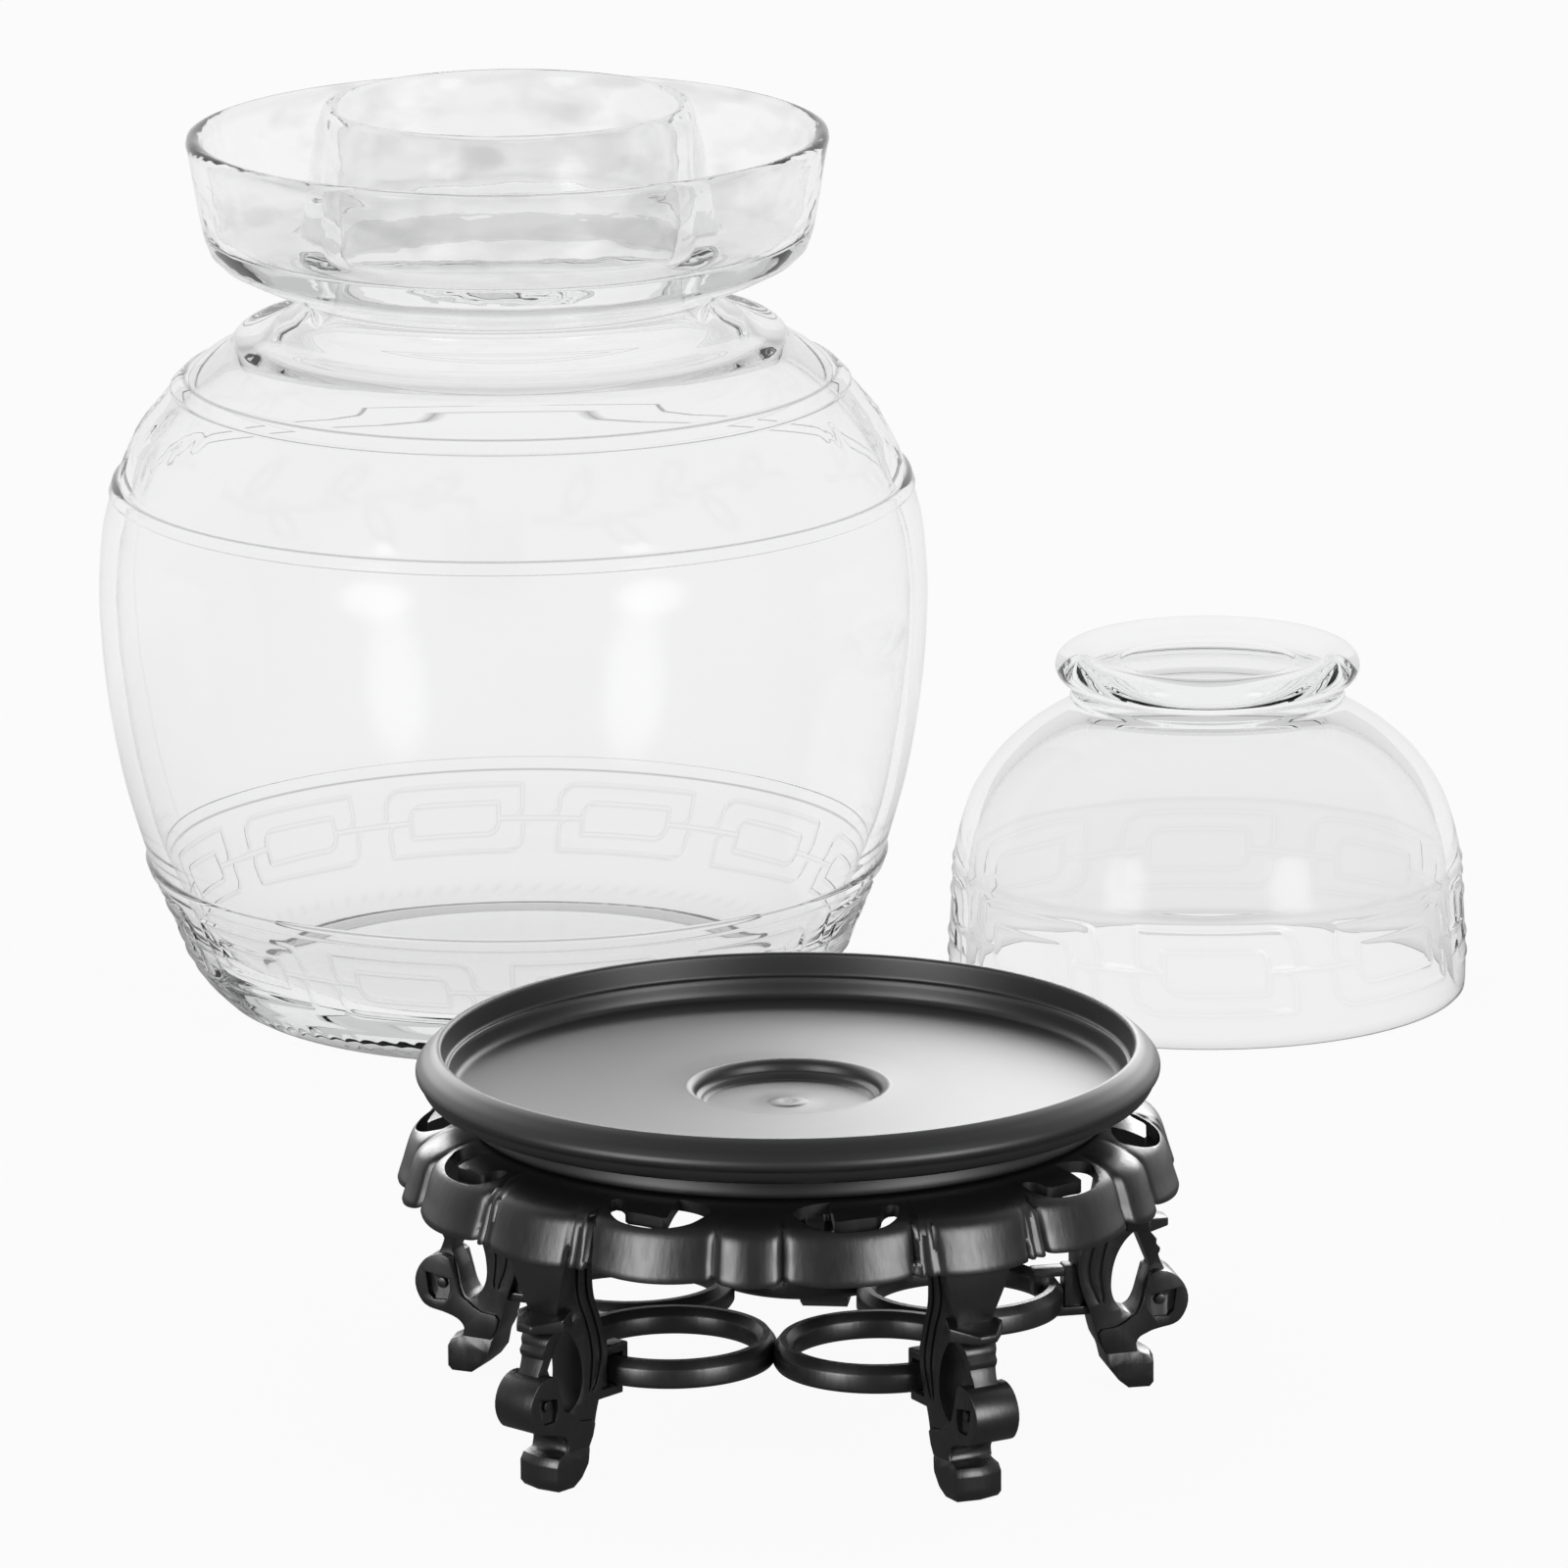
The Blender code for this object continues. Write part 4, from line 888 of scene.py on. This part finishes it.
eyes = []
for leg in range(LEGS):
    for start, turn in ((LEG_PETAL / 2 + REED, 1), (LEG_STEP - LEG_PETAL / 2 - REED, -1)):
        loop = []
        for along, across in EYE_RIM + EYE_CURL:
            azimuth = FIRST_LEG + math.radians(leg * LEG_STEP + start + turn * SIDE_PETAL * along / 100)
            radius = (EYE_INNER + (EYE_OUTER - EYE_INNER) * across / 100) * MM
            loop.append((*round_stand(azimuth, radius), EYE_LOW * MM))
        eyes.append(plate("eye", [loop], (0, 0, EYE_DEEP * MM)))
pick(*eyes)
bpy.ops.object.join()
boolean(apron_piece, eyes[0], "DIFFERENCE")
soften(apron_piece, 0.3 * MM, 50)
pick(apron_piece)
bpy.ops.object.shade_smooth_by_angle(angle=math.radians(50))
dress(apron_piece, "apron")


# Ring wreath.
# The five stretchers are one moulding of five flat rings, one behind each leg, each run into its
# neighbours. The bars are bevelled on top. The legs hold the wreath between a hook and a ledge.
RING_TURNS = 96
RING_RADIUS, RING_BAR, RING_LOW, RING_HIGH = 18.4, 3.6, 15.6, 20.4
RING_AWAY = 30.9
inner_edge, outer_edge = RING_RADIUS - RING_BAR, RING_RADIUS
ring_outline = [(inner_edge, 16.3), (inner_edge, 18.7), (inner_edge + 0.2, 19.1), (inner_edge + 0.9, 20.0),
                (inner_edge + 1.2, RING_HIGH), (outer_edge - 1.2, RING_HIGH), (outer_edge - 0.9, 20.0),
                (outer_edge - 0.2, 19.1), (outer_edge, 18.7), (outer_edge, 16.2),
                (outer_edge - 0.4, RING_LOW), (inner_edge + 0.5, RING_LOW)]
rings = []
for leg in range(LEGS):
    centre = round_stand(FIRST_LEG + math.radians(leg * LEG_STEP), RING_AWAY * MM)
    rings.append(turn_section(f"ring_{leg + 1}", ring_outline, centre, RING_TURNS, closed=True))
wreath = rings[0]
for ring in rings[1:]:
    boolean(wreath, ring, "UNION")
wreath.name = "ring_wreath_bars"
pick(wreath)
bpy.ops.object.shade_smooth_by_angle(angle=math.radians(28))
dress(wreath, "ring_wreath")


# Legs.
# Five alike, each a moulded scroll leg: a shield shaped front above a beak, a strut down to a wide scroll
# with a pocket in each side, two grooves along the spine, and a faceted foot. A hook and a ledge behind it
# hold the wreath.
LEG_FACE_LINE = [(57.0, 51.6), (58.0, 51.6), (61.6, 49.8), (63.6, 47.6), (64.9, 44.0), (65.1, 39.0),
                 (64.4, 34.0), (63.8, 31.4), (63.8, 29.6)]
LEG_STRUT = [(65.0, 28.4), (66.2, 27.0), (66.2, 26.0), (66.9, 25.2), (66.9, 24.6), (66.6, 24.0),
             (67.2, 22.4), (68.4, 19.9)]
LEG_SHANK = [(68.0, 12.2), (66.2, 10.8), (64.4, 9.9), (63.0, 9.2), (62.3, 8.1), (62.5, 7.0)]
LEG_FOOT = [(62.9, 6.5), (64.6, 5.9), (65.3, 4.6), (65.3, 0.9), (64.6, 0.0), (60.8, 0.0)]
LEG_SPINE = [(58.9, 1.6), (57.4, 3.6), (56.8, 6.0)]
LEG_BACK = [(56.4, 7.0), (55.3, 9.0), (54.6, 11.7), (53.6, 15.0), (52.4, 18.2), (51.7, 21.6), (52.0, 25.0),
            (53.6, 29.0), (55.8, 34.0), (56.8, 40.0), (57.0, 46.0)]
LEG_HOLE = [(62.4, 29.2), (60.4, 27.2), (59.0, 25.0), (58.2, 22.8), (57.8, 20.4), (57.8, 18.0),
            (58.5, 15.9), (59.8, 14.2), (61.2, 13.5), (62.3, 14.2), (63.0, 15.6), (63.5, 17.3),
            (64.0, 19.1), (64.8, 20.8), (65.2, 21.9)]
LEG_GROOVES = ([(58.6, 47.0), (58.4, 40.0), (57.4, 34.0), (55.4, 29.4), (53.9, 25.2), (53.5, 21.6),
                (54.3, 18.4), (55.6, 15.8)],
               [(60.4, 47.0), (60.4, 40.0), (59.4, 34.0), (57.6, 29.6), (56.2, 25.6), (55.6, 21.8),
                (55.9, 18.6), (56.3, 15.8)])
SCROLL = [(64.9, 20.8), (65.9, 21.3), (67.7, 21.2), (69.5, 20.4), (71.0, 18.6), (71.7, 16.5), (71.5, 14.4),
          (70.4, 12.3), (68.9, 11.3), (66.5, 10.8), (64.4, 10.2), (62.9, 9.4), (62.1, 8.2), (62.4, 6.7)]
SCROLL_REST = [(56.9, 6.5), (55.9, 8.3), (55.3, 10.4), (56.0, 11.2), (58.8, 11.5), (60.2, 12.3)]
SCROLL_HOLE_SIDE = [(61.3, 13.1), (62.6, 13.9), (63.4, 15.4), (63.9, 17.2), (64.4, 19.0), (64.9, 20.8)]
SCROLL_HALF = 4.3
LEG_HALF = 7.2                     # the leg is cut from a plate of twice this thickness and then slimmed
GROOVE_FLOOR, GROOVE_REACH, GROOVE_WIDE = 6.3, 2.0, 0.7
# Half thicknesses of the leg in front and along its spine, by height, and where the plate is cut across
# and along, so that it can be slimmed to them.
FRONT_HALVES = [(0, 4.1), (0.8, 4.4), (5.6, 4.4), (6.6, 3.9), (8, 3.7), (12, 3.6), (19, 2.5), (22, 2.3),
                (24.5, 2.6), (27, 3.0), (29, 3.6), (31.3, 3.3), (34, 4.2), (38, 5.6), (42, 6.7), (46, 7.2),
                (52, 7.2)]
SPINE_HALVES = [(0, 4.1), (0.8, 4.4), (5.6, 4.4), (6.6, 3.9), (8, 3.8), (12, 3.7), (20, 3.8), (28, 4.1),
                (34, 4.6), (42, 5.4), (52, 6.0)]
LEG_ROWS = [11.1, 30.4, 31.3] + [step + 0.31 for step in range(2, 51, 2)]
LEG_COLUMNS = [step + 0.37 for step in range(53, 69, 2)]


def upright_loop(line, away=-LEG_HALF):
    """A route in metres along (out, up) points in mm, in an upright plane beside the leg's middle."""
    return [(r * MM, away * MM, z * MM) for r, z in line]


def strip(line, width):
    """A closed loop round a curved line: a strip of a width that ends in points."""
    route = smooth_line(line, 1.6)
    left, right = [], []
    for before, here, after in zip([route[0]] + route, route, route[1:] + [route[-1]]):
        dx, dz = after[0] - before[0], after[1] - before[1]
        step = width / 2 / math.hypot(dx, dz)
        left.append((here[0] - dz * step, here[1] + dx * step))
        right.append((here[0] + dz * step, here[1] - dx * step))
    return left[:-1] + [route[-1]] + right[-2::-1]


leg_loop = (smooth_line(LEG_FACE_LINE, 1.2) + smooth_line(LEG_STRUT, 0.8) + smooth_line(LEG_SHANK, 0.8)
            + LEG_FOOT + LEG_SPINE + smooth_line(LEG_BACK, 1.5))
hole_loop = smooth_line(LEG_HOLE, 0.7)
leg_piece = plate("leg_body", [upright_loop(leg_loop), upright_loop(hole_loop)], (0, 2 * LEG_HALF * MM, 0))
for groove in LEG_GROOVES:
    for side in (-1, 1):
        loop = upright_loop(strip(groove, GROOVE_WIDE), side * GROOVE_FLOOR)
        boolean(leg_piece, plate("groove", [loop], (0, side * GROOVE_REACH * MM, 0)), "DIFFERENCE")
pick(leg_piece)
bpy.ops.object.mode_set(mode="EDIT")
for place, normal in ([((0, 0, up * MM), (0, 0, 1)) for up in LEG_ROWS]
                      + [((out * MM, 0, 0), (1, 0, 0)) for out in LEG_COLUMNS] + [((0, 0, 0), (0, 1, 0))]):
    bpy.ops.mesh.select_all(action="SELECT")
    bpy.ops.mesh.bisect(plane_co=place, plane_no=normal)
bpy.ops.object.mode_set(mode="OBJECT")

# The plate is slimmed to the leg's thickness in front and along its spine, waisted behind the shield's edge,
# and the front of the foot is brought to a shallow point.
places = read_places(leg_piece)
out, up = places[:, 0] / MM, places[:, 2] / MM
front, spine = (np.interp(up, *zip(*halves)) for halves in (FRONT_HALVES, SPINE_HALVES))
ease = np.clip((out - 56) / 7, 0, 1)
half = spine + (front - spine) * ease * ease * (3 - 2 * ease)
half -= 0.8 * np.exp(-((out - 61.0) / 2.0) ** 2) * np.clip((up - 29) / 6, 0, 1)
places[:, 1] *= half / LEG_HALF
nose = (up < 6.3) & (out > 61.5)
places[:, 0] += np.where(nose, 0.9 * MM * (1 - np.abs(places[:, 1]) / (4.4 * MM)), 0)
write_places(leg_piece, places)
soften(leg_piece, 0.35 * MM, 40)

# The beak is a pointed shelf with a sloped top. The scroll is wider than the leg and keeps a pocket with a
# small boss in each side.
BEAK = [(60.5, -4.0), (64.4, -5.4), (68.7, -1.7), (68.7, 1.7), (64.4, 5.4), (60.5, 4.0)]
BEAK_LOW, BEAK_THICK = 28.9, 1.7
BEAK_SLOPE = [(60.5, 1.7), (68.7, -0.2)]       # how much its top is lifted, from its back to its tip
POCKET = [(64.9, 17.0), (69.6, 17.9), (69.0, 13.9), (68.0, 12.9), (65.4, 13.0), (64.8, 14.8)]
POCKET_DEEP = 1.4
BOSS_OUT, BOSS_UP, BOSS_RADIUS, BOSS_DEEP = 66.7, 15.9, 0.95, 1.5

beak = plate("beak", [[(r * MM, y * MM, BEAK_LOW * MM) for r, y in BEAK]], (0, 0, BEAK_THICK * MM))
places = read_places(beak)
lift = np.interp(places[:, 0] / MM, *zip(*BEAK_SLOPE)) * MM
places[:, 2] += np.where(places[:, 2] > (BEAK_LOW + BEAK_THICK / 2) * MM, lift, 0)
write_places(beak, places)
soften(beak, 0.3 * MM, 30)
scroll_line = smooth_line(SCROLL, 0.9) + SCROLL_REST + smooth_line(SCROLL_HOLE_SIDE, 0.9)[:-1]
scroll = plate("scroll", [upright_loop(scroll_line, -SCROLL_HALF)], (0, 2 * SCROLL_HALF * MM, 0))
soften(scroll, 0.45 * MM, 50, 3)
for side in (-1, 1):
    loop = upright_loop(POCKET, side * (SCROLL_HALF - POCKET_DEEP))
    boolean(scroll, plate("pocket", [loop], (0, side * 4.0 * MM, 0)), "DIFFERENCE")
soften(scroll, 0.25 * MM, 60)
for side in (-1, 1):
    place = (BOSS_OUT * MM, side * (SCROLL_HALF - 1.3) * MM, BOSS_UP * MM)
    bpy.ops.mesh.primitive_cylinder_add(vertices=24, radius=BOSS_RADIUS * MM, depth=BOSS_DEEP * MM,
                                        rotation=(math.pi / 2, 0, 0), location=place)
    boss = bpy.context.active_object
    bpy.ops.object.transform_apply(location=True, rotation=True, scale=True)
    soften(boss, 0.2 * MM, 50)
    boolean(scroll, boss, "UNION")
boolean(leg_piece, scroll, "UNION")
boolean(leg_piece, beak, "UNION")


def block(low, high, round_by=0.3):
    """A moulded block between two corners in mm, its edges rounded."""
    middle = [(a + b) / 2 * MM for a, b in zip(low, high)]
    bpy.ops.mesh.primitive_cube_add(size=1.0, location=middle)
    made = bpy.context.active_object
    made.scale = [(b - a) * MM for a, b in zip(low, high)]
    bpy.ops.object.transform_apply(location=True, rotation=True, scale=True)
    soften(made, round_by * MM, 30)
    return made


# The clip behind the leg: the hook's arm and its tip, the ledge, and the upright between them.
CLIP_BLOCKS = (((44.0, -1.7, 20.7), (54.0, 1.7, 22.3)), ((44.0, -1.7, 17.7), (45.4, 1.7, 21.5)),
               ((46.3, -2.6, 13.6), (55.4, 2.6, 15.3)), ((49.6, -1.9, 13.9), (53.2, 1.9, 22.6)))
for low, high in CLIP_BLOCKS:
    boolean(leg_piece, block(low, high), "UNION")
pick(leg_piece)
bpy.ops.object.shade_smooth_by_angle(angle=math.radians(40))
for leg in range(LEGS):
    copy = leg_piece.copy()
    copy.data = leg_piece.data.copy()
    copy.name = f"leg_{leg + 1}_moulding"
    bpy.context.scene.collection.objects.link(copy)
    copy.location = (stand_x, stand_y, 0)
    copy.rotation_euler = (0, 0, FIRST_LEG + math.radians(leg * LEG_STEP) - math.pi / 2)
    pick(copy)
    bpy.ops.object.transform_apply(location=True, rotation=True, scale=True)
    dress(copy, f"leg_{leg + 1}")
bpy.data.objects.remove(leg_piece)
